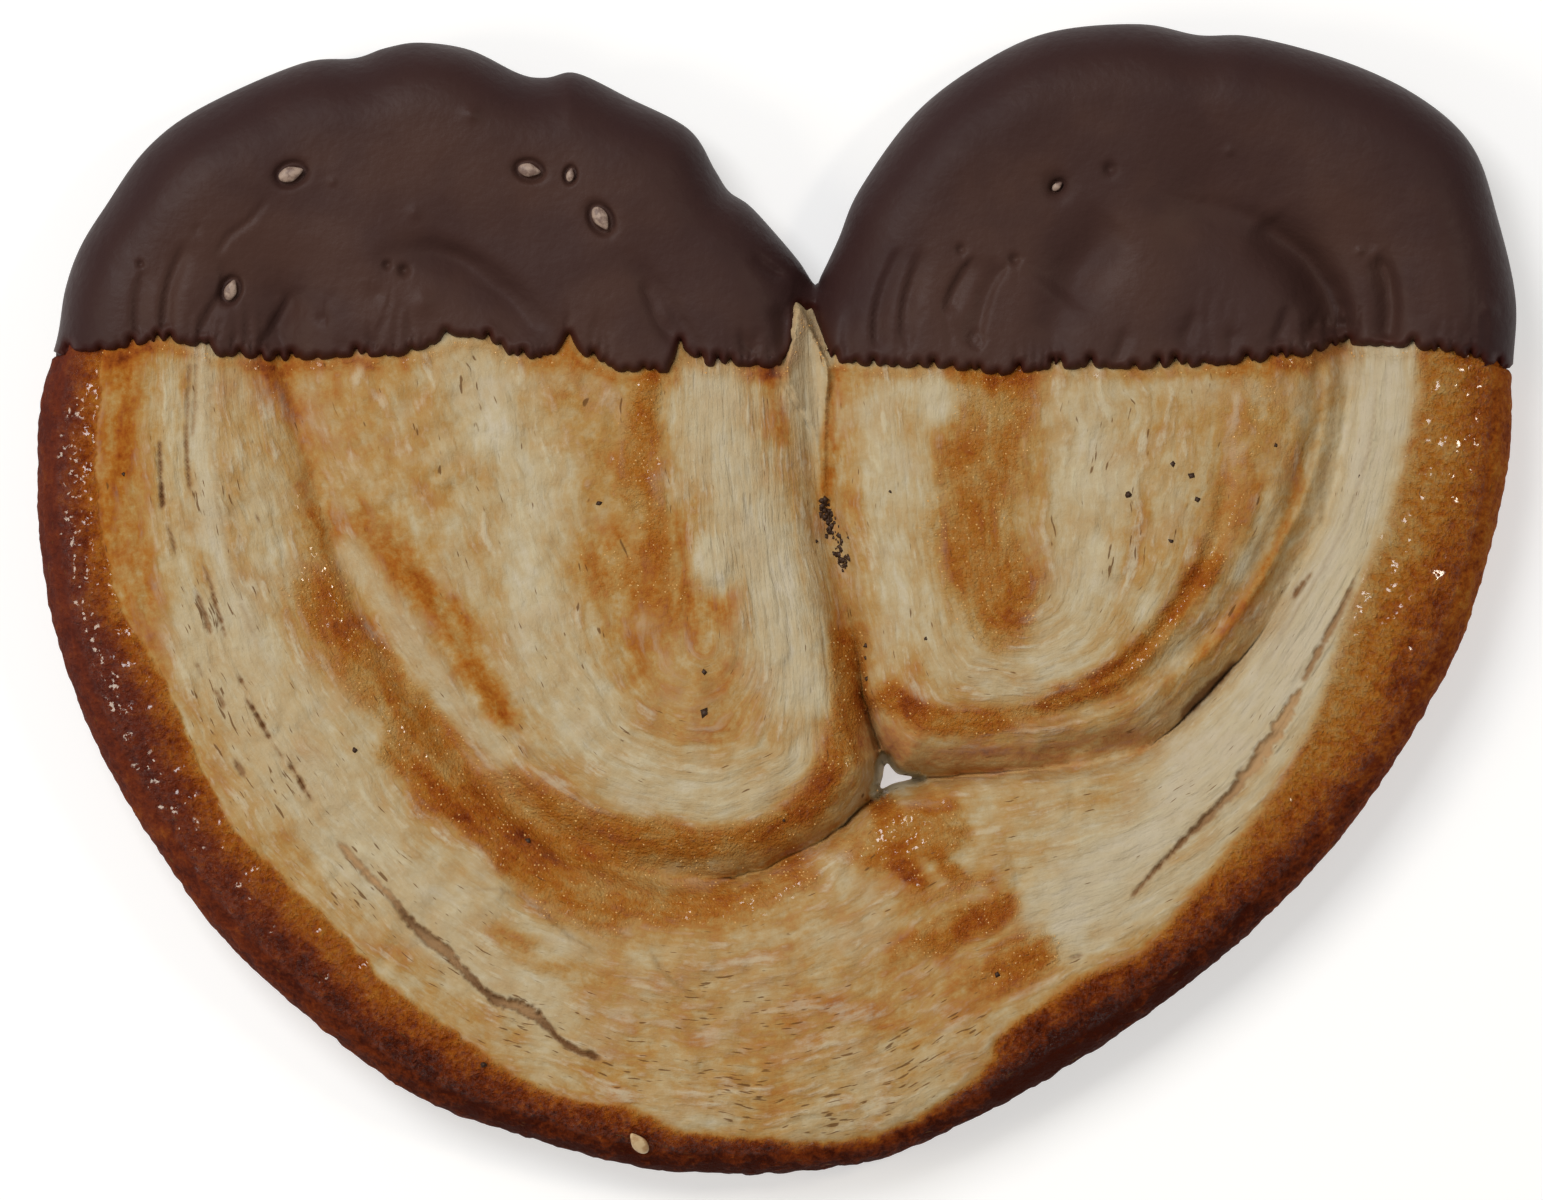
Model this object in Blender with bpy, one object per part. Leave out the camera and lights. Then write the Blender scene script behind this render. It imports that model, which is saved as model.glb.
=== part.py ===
"""A palmier: a heart-shaped puff pastry whose two ears are dipped in dark chocolate.

The pastry lies flat with its baked top face up. X runs across the heart, +Y points to the dipped
ears, and the origin is under the middle of the piece on the surface that it lies on. One sheet of
dough is rolled in from both sides, so the plan has an outer band, a left coil and a right coil,
which meet at a small triangular gap that goes right through.
"""

import math
from collections import namedtuple

import bmesh
import bpy
import numpy as np
from mathutils import Vector, geometry, noise

# Plan points are in millimetres from the middle of the heart. The mesh is made in metres.
MM = 0.001

# Heights, in millimetres.
FACE_HEIGHT = 13.0
EQUATOR_HEIGHT = 6.2
RIM_WIDTH = 8.5
RIM_FULLNESS = 2.3
FOOT_INSETS = ((0.3, 3.6), (1.3, 1.3), (3.4, 0.0))
FOLD_SAG = 1.5
FOLD_SAG_REACH = 6.0
UNEVENNESS = 0.35
UNEVENNESS_SPAN = 11.0

# The chocolate, in millimetres.
COAT = 1.2
COAT_GAP = 0.3
COAT_SOFTNESS = 1.4
DIP_LINE = 25.5
TOOTH_PITCH = 1.7
TOOTH_REACH = 0.68

# How the dough makes room for the coat: where its side starts and ends to step in, how far the
# raised underside runs out past the coat, and how far past the dip line its face is still finely meshed.
STEP_IN_START = -0.9
STEP_IN_END = 0.3
UNDERSIDE_LEAD = 1.0
FINE_LEAD = 9.0

# The block that marks the dipped part, in millimetres.
DIP_FAR_SIDE = 75.0
DIP_LOW = -2.0
DIP_HIGH = 40.0
DIP_CALM_STEP = 6.0

# Spacing of the mesh, in millimetres.
OUTLINE_STEP = 2.9
RIM_INSETS = (0.35, 1.3, 3.0, 5.2)
FACE_STEP = 3.1
HIDDEN_STEP = 4.6
FOLD_STEP = 2.2
CURVE_PARTS = 8
NORMAL_SOFTENING = 3
DIP_ROWS_MIDDLE = -0.5
DIP_ROWS_REACH = 1.5
LATTICE_HALF_WIDTH = 90.0
LATTICE_HALF_HEIGHT = 70.0
MERGE_DISTANCE = 1e-4

# Clearances between the mesh's rows of points, as parts of their step.
LINKED_ROW = 1.8
LATTICE_CLEARANCE = 0.6
RIM_CLEARANCE = 0.4
GAP_CLEARANCE = 0.3

# The heart's outline, anticlockwise from the cleft between the ears.
LEFT_EAR = [
    (4.3, 34.0), (2.6, 36.5), (-0.1, 39.7), (-2.8, 42.6), (-5.0, 44.1), (-6.5, 46.4), (-9.3, 50.8),
    (-15.8, 54.2), (-21.5, 56.9), (-24.7, 56.4), (-27.6, 56.8), (-33.0, 59.4), (-38.4, 60.2),
    (-42.2, 59.6), (-45.5, 58.5), (-51.4, 57.9), (-62.2, 53.1), (-68.1, 48.6), (-72.5, 42.4),
    (-75.2, 38.0), (-76.8, 33.5), (-77.7, 28.1),
]
LEFT_FLANK = [
    (-79.6, 21.6), (-80.0, 13.5), (-79.7, 5.9), (-78.0, -3.8), (-73.9, -15.1), (-67.6, -26.2),
    (-59.4, -37.3), (-49.0, -46.7),
]
BASE = [
    (-38.4, -54.2), (-26.0, -58.7), (-14.3, -61.7), (-6.0, -62.3), (0.4, -62.3), (11.0, -60.8),
    (19.4, -57.4), (30.0, -51.8),
]
RIGHT_FLANK = [
    (41.0, -44.6), (52.2, -35.5), (63.1, -23.6), (73.0, -7.6), (77.2, 4.3), (79.6, 15.5), (79.8, 24.8),
]
RIGHT_EAR = [
    (80.1, 32.4), (78.2, 41.0), (75.5, 48.8), (70.1, 54.0), (62.0, 58.0), (51.8, 60.8), (45.8, 61.0),
    (39.3, 62.2), (29.6, 61.3), (22.0, 57.8), (15.0, 52.4), (9.1, 44.3), (6.8, 38.9), (5.0, 35.1),
]
OUTLINE = LEFT_EAR + LEFT_FLANK + BASE + RIGHT_FLANK + RIGHT_EAR

# The triangular gap where the outer band and the two coils meet, anticlockwise.
THROUGH_GAP = [(11.6, -16.9), (10.9, -19.3), (10.6, -21.3), (12.8, -20.4), (16.2, -19.4), (13.4, -18.7)]

GAP_STEP = 1.1
GAP_DEPTH = 8.5
GAP_SHOULDER = 3.2

# Folds as (x, y, depth), each with the width of its shoulder to the left and right of its travel.
Fold = namedtuple("Fold", "points left right")
COIL_SEAM = Fold(
    [(4.3, 33.5, 3.0), (4.4, 27.0, 2.5), (4.9, 18.4, 2.0), (5.8, 8.6, 2.4), (7.2, 2.2, 2.6),
     (8.5, -4.3, 3.4), (9.5, -10.8, 4.6), (11.3, -16.2, 7.5)],
    2.8, 4.6,
)
LEFT_COIL_FOLD = Fold(
    [(10.4, -21.7, 7.5), (4.8, -26.2, 4.6), (-3.3, -29.8, 4.4), (-9.3, -30.1, 3.0), (-14.7, -29.4, 2.1),
     (-21.2, -27.0, 1.7), (-27.6, -22.9, 1.5), (-33.0, -17.8, 1.4), (-37.9, -11.3, 1.3),
     (-42.2, -4.9, 1.2), (-46.0, 3.2, 1.2), (-49.0, 11.9, 1.2), (-51.4, 19.4, 1.2), (-53.0, 27.0, 1.0),
     (-53.4, 32.4, 0.6)],
    3.4, 5.0,
)
RIGHT_COIL_FOLD = Fold(
    [(16.6, -19.3, 7.5), (24.2, -18.7, 4.6), (29.6, -18.3, 3.4), (38.2, -16.8, 3.0), (43.6, -13.4, 4.2),
     (50.1, -6.7, 4.0), (53.9, -1.1, 3.2), (56.6, 3.5, 2.6), (59.0, 8.1, 2.3), (60.7, 14.0, 2.1),
     (61.8, 20.5, 2.0), (62.0, 25.9, 2.3), (60.9, 31.3, 2.6), (58.2, 35.6, 2.2), (52.8, 40.2, 1.2),
     (47.0, 42.5, 0.4)],
    5.0, 2.2,
)
LEFT_SPLIT = Fold(
    [(-63.3, 27.0, 0.8), (-63.0, 18.4, 0.8), (-62.4, 8.6, 0.8), (-60.8, 0.0, 1.0), (-57.9, -8.6, 1.2),
     (-53.6, -16.7, 1.3), (-47.6, -25.4, 1.3), (-42.2, -32.4, 1.8), (-36.3, -38.3, 2.1),
     (-30.9, -42.7, 2.2), (-25.5, -45.7, 2.2), (-19.0, -49.5, 1.0)],
    1.5, 1.5,
)
RIGHT_SPLIT = Fold(
    [(62.5, 1.1, 0.6), (58.5, -5.9, 1.0), (55.5, -11.3, 1.4), (53.1, -17.3, 1.8), (49.6, -21.6, 2.2),
     (44.7, -26.5, 2.0), (38.2, -32.4, 2.2), (32.3, -37.3, 0.8)],
    1.5, 1.5,
)
LEFT_INNER_FOLD = Fold(
    [(-44.4, 8.6, 0.4), (-40.6, 3.2, 1.0), (-36.3, -3.2, 1.2), (-32.5, -9.7, 1.1), (-28.7, -15.7, 0.9),
     (-23.3, -20.5, 0.4)],
    2.6, 3.4,
)
RIGHT_INNER_FOLD = Fold(
    [(59.0, 24.6, 0.8), (59.0, 18.4, 1.0), (56.6, 11.9, 1.1), (52.8, 4.3, 1.2), (47.4, -3.2, 1.2),
     (40.4, -8.6, 1.0), (32.8, -11.9, 0.8), (25.3, -12.4, 0.4)],
    2.2, 3.4,
)
LEFT_EAR_FOLD = Fold(
    [(-39.5, 38.8, 0.2), (-34.0, 37.0, 1.0), (-28.0, 33.2, 1.1), (-23.5, 28.3, 0.6)], 2.4, 3.6
)
CLEFT_FOLD = Fold([(-15.5, 37.0, 0.2), (-12.3, 33.0, 0.9), (-8.5, 27.4, 0.7)], 1.8, 3.0)
RIGHT_EAR_FOLD = Fold([(36.5, 41.0, 0.2), (33.0, 36.0, 1.0), (29.8, 29.2, 0.8)], 4.5, 4.5)
RIGHT_CORNER_FOLD = Fold([(63.6, 40.0, 0.2), (66.0, 35.0, 1.0), (66.4, 28.8, 0.8)], 2.2, 2.8)
DEEP_FOLDS = (COIL_SEAM, LEFT_COIL_FOLD, RIGHT_COIL_FOLD)
SPLITS = (LEFT_SPLIT, RIGHT_SPLIT)
SOFT_FOLDS = (
    LEFT_INNER_FOLD, RIGHT_INNER_FOLD, LEFT_EAR_FOLD, CLEFT_FOLD, RIGHT_EAR_FOLD, RIGHT_CORNER_FOLD
)
# Where the mesh gets rows of points beside a fold, as parts of its shoulder.
DEEP_ROWS = (-1.0, -0.5, -0.15, 0.0, 0.15, 0.5, 1.0)
SHALLOW_ROWS = (-1.0, 0.0, 1.0)

# The lower edge of the chocolate, left to right, as (x, y). It climbs where the two ears meet.
DIP_EDGE = [
    (-86.0, 26.3), (-77.7, 26.5), (-70.8, 26.6), (-67.6, 27.3), (-61.7, 27.0), (-60.0, 25.9),
    (-52.5, 25.3), (-46.5, 25.9), (-40.6, 25.9), (-37.4, 26.8), (-35.0, 28.1), (-32.0, 27.9),
    (-30.1, 27.0), (-28.4, 25.5), (-24.0, 25.6), (-22.2, 28.0), (-20.6, 25.6), (-16.8, 24.3),
    (-11.4, 24.2), (-10.2, 26.8), (-7.7, 24.9), (0.4, 24.7), (2.0, 26.9), (2.6, 31.4), (3.9, 31.4),
    (4.6, 29.2), (6.0, 25.2), (11.2, 24.8), (18.8, 24.6), (24.2, 23.9), (30.7, 24.6), (40.4, 24.5),
    (51.2, 25.1), (56.6, 25.7), (61.5, 27.3), (69.6, 26.7), (73.9, 25.9), (79.0, 24.8), (86.0, 24.6),
]

# Sesame seeds, as (x, y, turn in degrees, stands proud): one on the crust, the others in the chocolate.
SEED_LENGTH, SEED_WIDTH, SEED_THICKNESS = 2.9, 1.9, 0.9
SEED_TAPER = 0.35
CRUST_SEED = (-14.7, -58.6, 120.0, 0.25)
COAT_SEEDS = [
    (-52.2, 45.8, 20.0, 0.2), (-26.5, 46.2, -10.0, 0.2), (-22.1, 45.7, 80.0, 0.1),
    (-18.8, 41.0, -60.0, 0.2), (-58.7, 33.3, 70.0, 0.15), (30.4, 44.5, 40.0, 0.1),
]

# (base colour, roughness), linear.
PASTRY_COLOUR = ((0.42, 0.24, 0.09), 0.55)
CHOCOLATE_COLOUR = ((0.055, 0.028, 0.022), 0.3)
SHARP_ANGLE = 50.0


def smooth_curve(points, step, closed=False):
    """A Catmull-Rom curve through the points, resampled at an even step. A third column is carried."""
    points = np.array(points, float)
    if closed:
        padded = np.vstack([points[-1], points, points[0], points[1]])
    else:
        padded = np.vstack([2 * points[0] - points[1], points, 2 * points[-1] - points[-2]])
    t = np.linspace(0.0, 1.0, CURVE_PARTS, endpoint=False)[:, None]
    spans = [
        0.5 * (2 * b + (c - a) * t + (2 * a - 5 * b + 4 * c - d) * t**2 + (3 * b - a - 3 * c + d) * t**3)
        for a, b, c, d in zip(padded, padded[1:], padded[2:], padded[3:])
    ]
    dense = np.vstack([*spans, padded[-2]])
    along = np.concatenate([[0.0], np.cumsum(np.hypot(*np.diff(dense[:, :2], axis=0).T))])
    stops = np.linspace(0.0, along[-1], max(3, round(along[-1] / step)) + 1)
    even = np.column_stack([np.interp(stops, along, column) for column in dense.T])
    return even[:-1] if closed else even


def inward_normals(loop):
    """Unit normals into an anticlockwise loop, softened so that neighbours don't cross."""
    ahead = np.roll(loop, -1, axis=0) - np.roll(loop, 1, axis=0)
    normals = np.column_stack([-ahead[:, 1], ahead[:, 0]])
    for _ in range(NORMAL_SOFTENING):
        normals = normals + 0.5 * (np.roll(normals, 1, axis=0) + np.roll(normals, -1, axis=0))
    return normals / np.linalg.norm(normals, axis=1)[:, None]


def nearest_on(curve, xy, closed=False):
    """For each point of xy: distance to the curve, place along it as an index, and side (+1 is left)."""
    start = curve[:, :2] if closed else curve[:-1, :2]
    end = np.roll(curve[:, :2], -1, axis=0) if closed else curve[1:, :2]
    run = end - start
    away = xy[:, None, :] - start[None, :, :]
    t = np.clip((away * run).sum(2) / (run * run).sum(1), 0.0, 1.0)
    gap = away - t[:, :, None] * run
    distance = np.hypot(gap[:, :, 0], gap[:, :, 1])
    pick = distance.argmin(axis=1)
    rows = np.arange(len(xy))
    cross = run[pick, 0] * away[rows, pick, 1] - run[pick, 1] * away[rows, pick, 0]
    return distance[rows, pick], pick + t[rows, pick], np.sign(cross)


def inside(loop, xy):
    """True for each point of xy inside the closed loop, by counting crossings."""
    x, y = xy[:, :1], xy[:, 1:]
    x0, y0 = loop[:, 0], loop[:, 1]
    x1, y1 = np.roll(x0, -1), np.roll(y0, -1)
    crosses = (y0 > y) != (y1 > y)
    rise = np.where(y1 == y0, 1.0, y1 - y0)
    return ((crosses & (x < x0 + (y - y0) * (x1 - x0) / rise)).sum(1) % 2).astype(bool)


def smoothstep(low, high, value):
    t = np.clip((value - low) / (high - low), 0.0, 1.0)
    return t * t * (3 - 2 * t)


def heart_outline():
    """The whole heart in plan, with more points where the chocolate's edge crosses it."""
    fine = smooth_curve(OUTLINE, OUTLINE_STEP / 4, closed=True)
    near_dip = np.abs(fine[:, 1] - dip_edge_y(fine[:, 0]) - DIP_ROWS_MIDDLE) < DIP_ROWS_REACH
    return fine[near_dip | (np.arange(len(fine)) % 4 == 0)]


def dip_edge_y(x):
    """Height of the chocolate's edge at x, without its small teeth."""
    edge = np.array(DIP_EDGE)
    return np.interp(x, edge[:, 0], edge[:, 1])


def cusp(distance, depth, width):
    """The drop beside a fold: a rounded shoulder that ends in a cusp on the fold's line."""
    near = 1 - np.clip(distance / width, 0.0, 1.0)
    return depth * (1 - np.sqrt(1 - near**2))


def groove(fold, xy):
    """How far a fold pulls the face down at each point, and how far off its line is."""
    line = smooth_curve(fold.points, FOLD_STEP)
    distance, place, side = nearest_on(line, xy)
    depth = np.interp(place, np.arange(len(line)), line[:, 2])
    return cusp(distance, depth, np.where(side > 0, fold.left, fold.right)), distance


def face_height(xy, outline, softness):
    """Height of the top face in millimetres. A softness above 1 shallows the folds, as a coat does."""
    rim, _, _ = nearest_on(outline, xy, closed=True)
    swell = (1 - (1 - np.clip(rim / RIM_WIDTH, 0.0, 1.0)) ** RIM_FULLNESS) ** (1 / RIM_FULLNESS)
    folds = [groove(fold, xy) for fold in DEEP_FOLDS]
    sag = FOLD_SAG * np.exp(-((np.min([gap for _, gap in folds], axis=0) / FOLD_SAG_REACH) ** 2))
    cut = np.max([depth for depth, _ in folds], axis=0)
    cut = np.maximum(cut, np.max([groove(fold, xy)[0] for fold in SPLITS + SOFT_FOLDS], axis=0))
    cut = np.maximum(cut, cusp(nearest_on(through_gap(), xy, closed=True)[0], GAP_DEPTH, GAP_SHOULDER))
    uneven = [noise.noise(Vector((x, y, 3.0)) / UNEVENNESS_SPAN) for x, y in xy]
    face = FACE_HEIGHT - sag - cut / softness + UNEVENNESS * np.array(uneven)
    return EQUATOR_HEIGHT + (face - EQUATOR_HEIGHT) * swell


def through_gap():
    """The gap's loop in plan."""
    return smooth_curve(THROUGH_GAP, GAP_STEP, closed=True)


def fold_rows():
    """Every fold line and lines beside it along its shoulders, where the mesh has to bend."""
    rows = []
    for fold in DEEP_FOLDS + SPLITS + SOFT_FOLDS:
        line = smooth_curve(fold.points, FOLD_STEP)[:, :2]
        ahead = np.gradient(line, axis=0)
        left = np.column_stack([-ahead[:, 1], ahead[:, 0]])
        left /= np.linalg.norm(left, axis=1)[:, None]
        for part in DEEP_ROWS if fold in DEEP_FOLDS else SHALLOW_ROWS:
            rows.append(line + left * part * (fold.left if part > 0 else fold.right))
    return rows


def lattice(step, low, high):
    """A triangular lattice of points across the whole width, between two heights of the plan."""
    rows = np.arange(low, high, step * math.sqrt(3) / 2)
    columns = np.arange(-LATTICE_HALF_WIDTH, LATTICE_HALF_WIDTH, step)
    x, y = np.meshgrid(columns, rows)
    x[1::2] += step / 2
    return np.column_stack([x.ravel(), y.ravel()])


def plan_points(outline, gap, hidden_above):
    """Points of the face and the edges to keep: borders, rim rings, folds, and a lattice between.

    Above hidden_above in the plan a coat hides the face, so the lattice is coarser there.
    """
    points = [outline, gap]
    edges = [loop_edges(0, len(outline)), loop_edges(len(outline), len(gap))]
    count = len(outline) + len(gap)
    for row in fold_rows():
        row = row[allowed(row, outline, gap) & (row[:, 1] < hidden_above)]
        close = np.hypot(*np.diff(row, axis=0).T) < LINKED_ROW * FOLD_STEP
        edges.append([(count + i, count + i + 1) for i in np.flatnonzero(close)])
        points.append(row)
        count += len(row)
    folds = np.vstack(points[2:])
    shown = (FACE_STEP, -LATTICE_HALF_HEIGHT, hidden_above)
    hidden = (HIDDEN_STEP, hidden_above, LATTICE_HALF_HEIGHT)
    for step, low, high in (shown, hidden):
        spread = lattice(step, low, high)
        off_folds = np.hypot(*(spread[:, None] - folds).transpose(2, 0, 1)).min(1)
        spread = spread[off_folds > LATTICE_CLEARANCE * step]
        points.append(spread[allowed(spread, outline, gap)])
    normals = inward_normals(outline)
    points += [outline + normals * inset for inset in RIM_INSETS]
    return np.vstack(points), [edge for group in edges for edge in group]


def loop_edges(first, count):
    return [(first + i, first + (i + 1) % count) for i in range(count)]


def allowed(xy, outline, gap):
    """True for points on the face, clear of the rim rings and of the through gap."""
    clear_of_rim = nearest_on(outline, xy, closed=True)[0] > RIM_INSETS[-1] + RIM_CLEARANCE * FOLD_STEP
    clear_of_gap = nearest_on(gap, xy, closed=True)[0] > GAP_CLEARANCE * FOLD_STEP
    return inside(outline, xy) & ~inside(gap, xy) & clear_of_rim & clear_of_gap


def triangulate(points, edges, gap):
    """Triangles between the borders, without the gap, and where each given point went."""
    inside_borders = 1
    given = [Vector(point) for point in points]
    made = geometry.delaunay_2d_cdt(given, edges, [], inside_borders, MERGE_DISTANCE)
    flat, _, faces, origins, *_ = made
    flat = np.array(flat)
    in_gap = inside(gap, np.array([flat[face].mean(0) for face in faces]))
    went_to = {i: made for made, merged in enumerate(origins) for i in merged}
    return flat, [face for face, dropped in zip(faces, in_gap) if not dropped], went_to


def band(upper, lower):
    """Quads between two loops of vertex indices."""
    count = len(upper)
    return [(upper[i], upper[i - 1], lower[i - 1], lower[i]) for i in range(count)]


def body(name, outline, face_lift, softness, hidden_above=LATTICE_HALF_HEIGHT):
    """A closed heart: the relief of the top face, a rounded side, a flat foot and the through gap."""
    gap = through_gap()
    rim_count, gap_count = len(outline), len(gap)
    plan, edges = plan_points(outline, gap, hidden_above)
    flat, faces, went_to = triangulate(plan, edges, gap)
    from_rim = nearest_on(outline, flat, closed=True)[0]
    height = face_height(flat, outline, softness) + face_lift * smoothstep(0.0, RIM_WIDTH, from_rim)
    layers = [np.column_stack([flat, height])]
    ring = [went_to[i] for i in range(rim_count)]
    count = len(flat)
    normals = inward_normals(outline)
    for inset, z in FOOT_INSETS:
        layers.append(np.column_stack([outline + normals * inset, np.full(rim_count, z)]))
        lower = range(count, count + rim_count)
        faces += band(ring, lower)
        ring, count = lower, count + rim_count
    layers.append(np.column_stack([gap, np.zeros(gap_count)]))
    faces += band(range(count, count + gap_count), [went_to[rim_count + i] for i in range(gap_count)])

    foot_edges = loop_edges(0, rim_count) + loop_edges(rim_count, gap_count)
    foot_plan = np.vstack([outline + normals * FOOT_INSETS[-1][0], gap])
    _, foot_faces, foot_went_to = triangulate(foot_plan, foot_edges, gap)
    given = {made: i for i, made in foot_went_to.items()}
    first = count - rim_count
    faces += [[first + given[i] for i in reversed(face)] for face in foot_faces]
    return mesh_object(name, np.vstack(layers) * MM, faces)


def mesh_object(name, points, faces):
    """An object from points in metres and faces, without stray points and with its faces outward."""
    bm = bmesh.new()
    verts = [bm.verts.new(point) for point in points]
    for face in faces:
        bm.faces.new([verts[i] for i in face])
    bmesh.ops.delete(bm, geom=[vert for vert in verts if not vert.link_faces], context="VERTS")
    bmesh.ops.recalc_face_normals(bm, faces=bm.faces)
    return finish_object(bm, name)


def finish_object(bm, name):
    mesh = bpy.data.meshes.new(name)
    bm.to_mesh(mesh)
    bm.free()
    obj = bpy.data.objects.new(name, mesh)
    bpy.context.collection.objects.link(obj)
    return obj


def ragged_edge():
    """The near side of the dip in plan: the chocolate's edge with its small teeth."""
    xs = np.arange(DIP_EDGE[0][0], DIP_EDGE[-1][0], TOOTH_PITCH / 2)
    teeth = np.array([noise.noise(Vector((x, 0.0, 0.0))) for x in xs]) * TOOTH_REACH
    teeth[1::2] *= -1
    return [(x, y) for x, y in zip(xs, dip_edge_y(xs) + teeth)]


def plain_edge():
    """A calmer line just outside the ragged edge, where the dough's underside starts to rise."""
    xs = np.arange(DIP_EDGE[0][0], DIP_EDGE[-1][0], DIP_CALM_STEP)
    return [(x, y - UNDERSIDE_LEAD) for x, y in zip(xs, np.minimum(dip_edge_y(xs), DIP_LINE))]


def dip_prism(name, near_side, low, high):
    """A block over the dipped ears, from height low to height high."""
    plan = [*near_side, (near_side[-1][0], DIP_FAR_SIDE), (near_side[0][0], DIP_FAR_SIDE)]
    bm = bmesh.new()
    face = bm.faces.new([bm.verts.new((x * MM, y * MM, low * MM)) for x, y in plan])
    made = bmesh.ops.extrude_face_region(bm, geom=[face])["geom"]
    top = [item for item in made if isinstance(item, bmesh.types.BMVert)]
    bmesh.ops.translate(bm, verts=top, vec=(0, 0, (high - low) * MM))
    bmesh.ops.recalc_face_normals(bm, faces=bm.faces)
    return hide_helper(finish_object(bm, name))


def hide_helper(obj):
    obj.hide_render = True
    obj.display_type = "WIRE"
    return obj


def seed(name, x, y, turn, z):
    """One sesame seed: a flat drop, pointed at one end."""
    bm = bmesh.new()
    bmesh.ops.create_icosphere(bm, subdivisions=1, radius=1.0)
    for vert in bm.verts:
        vert.co.y *= 1 - SEED_TAPER * max(0.0, vert.co.x)
        vert.co.x *= SEED_LENGTH / 2 * MM
        vert.co.y *= SEED_WIDTH / 2 * MM
        vert.co.z *= SEED_THICKNESS / 2 * MM
    obj = hide_helper(finish_object(bm, name))
    obj.location = (x * MM, y * MM, z * MM)
    obj.rotation_euler.z = math.radians(turn)
    return obj


def boolean(obj, operation, operand):
    modifier = obj.modifiers.new(operation.title(), "BOOLEAN")
    modifier.operation = operation
    modifier.solver = "EXACT"
    if isinstance(operand, bpy.types.Collection):
        modifier.operand_type = "COLLECTION"
        modifier.collection = operand
    else:
        modifier.object = operand
    apply_modifiers(obj)


def apply_modifiers(obj):
    """Replaces the object's mesh with its evaluated one."""
    bpy.context.view_layer.update()
    evaluated = obj.evaluated_get(bpy.context.evaluated_depsgraph_get())
    mesh = bpy.data.meshes.new_from_object(evaluated)
    obj.modifiers.clear()
    obj.data = mesh


def inflated_copy(obj, name, distance):
    """A copy of the object with its surface moved out by distance, as a cutter."""
    copy = hide_helper(obj.copy())
    copy.data = obj.data.copy()
    copy.name = name
    bpy.context.collection.objects.link(copy)
    displace = copy.modifiers.new("Clearance", "DISPLACE")
    displace.strength = distance * MM
    displace.mid_level = 0.0
    apply_modifiers(copy)
    return copy


def fuse_seeds(obj, seeds):
    """Joins the seeds to the solid with one union on a collection, then drops them."""
    group = bpy.data.collections.new(obj.name + "_seeds")
    for item in seeds:
        group.objects.link(item)
    boolean(obj, "UNION", group)
    for item in seeds:
        bpy.data.objects.remove(item)


def material(name, colour, roughness):
    made = bpy.data.materials.new(name)
    made.use_nodes = True
    shader = made.node_tree.nodes["Principled BSDF"]
    shader.inputs["Base Color"].default_value = (*colour, 1.0)
    shader.inputs["Roughness"].default_value = roughness
    shader.inputs["Metallic"].default_value = 0.0
    return made


def dress(obj, look, centre):
    """Gives the node its material and smooth shading, and moves the heart's middle to the origin."""
    obj.data.materials.clear()
    obj.data.materials.append(look)
    obj.data.shade_smooth()
    obj.data.set_sharp_from_angle(angle=math.radians(SHARP_ANGLE))
    obj.location = (-centre[0] * MM, -centre[1] * MM, 0.0)


def build():
    for old in list(bpy.data.objects):
        bpy.data.objects.remove(old)

    silhouette = heart_outline()
    centre = (silhouette.min(0) + silhouette.max(0)) / 2
    past_edge = silhouette[:, 1] - dip_edge_y(silhouette[:, 0])
    under_coat = smoothstep(STEP_IN_START, STEP_IN_END, past_edge)
    dough_outline = silhouette + inward_normals(silhouette) * ((COAT + COAT_GAP) * under_coat)[:, None]

    pastry = body("pastry", dough_outline, 0.0, 1.0, hidden_above=DIP_LINE + FINE_LEAD)
    raised = dip_prism("raised_underside", plain_edge(), DIP_LOW, COAT + COAT_GAP)
    boolean(pastry, "DIFFERENCE", raised)

    chocolate = body("chocolate", silhouette, COAT + COAT_GAP, COAT_SOFTNESS)
    boolean(chocolate, "INTERSECT", dip_prism("dipped_part", ragged_edge(), DIP_LOW, DIP_HIGH))
    boolean(chocolate, "DIFFERENCE", inflated_copy(pastry, "dough_inside", COAT_GAP))

    x, y, turn, proud = CRUST_SEED
    z = face_height(np.array([[x, y]]), dough_outline, 1.0)[0] + proud
    fuse_seeds(pastry, [seed("crust_seed", x, y, turn, z)])
    coat_seeds = []
    for i, (x, y, turn, proud) in enumerate(COAT_SEEDS):
        z = face_height(np.array([[x, y]]), silhouette, COAT_SOFTNESS)[0] + COAT + COAT_GAP + proud
        coat_seeds.append(seed(f"coat_seed_{i}", x, y, turn, z))
    fuse_seeds(chocolate, coat_seeds)

    dress(pastry, material("baked_dough", *PASTRY_COLOUR), centre)
    dress(chocolate, material("dark_chocolate", *CHOCOLATE_COLOUR), centre)


build()
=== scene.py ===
"""The looks of a palmier: a heart-shaped puff pastry with its two ears dipped in dark chocolate.

One sheet of dough is rolled in from both sides, so from above the pastry has an outer band, a left
coil and a right coil, which meet at a small triangular gap. The classes below build the baked dough
with its folds, splits and browning, the chocolate over the ears, the sesame seeds and the grains of
sugar, and light them softly from above. Plan measures are in millimetres from the heart's middle.
"""

import logging
import math
from collections.abc import Callable, Sequence
from dataclasses import dataclass, field
from enum import Enum, IntEnum
from typing import Any

import bpy
import numpy as np
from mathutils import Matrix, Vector, geometry

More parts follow.
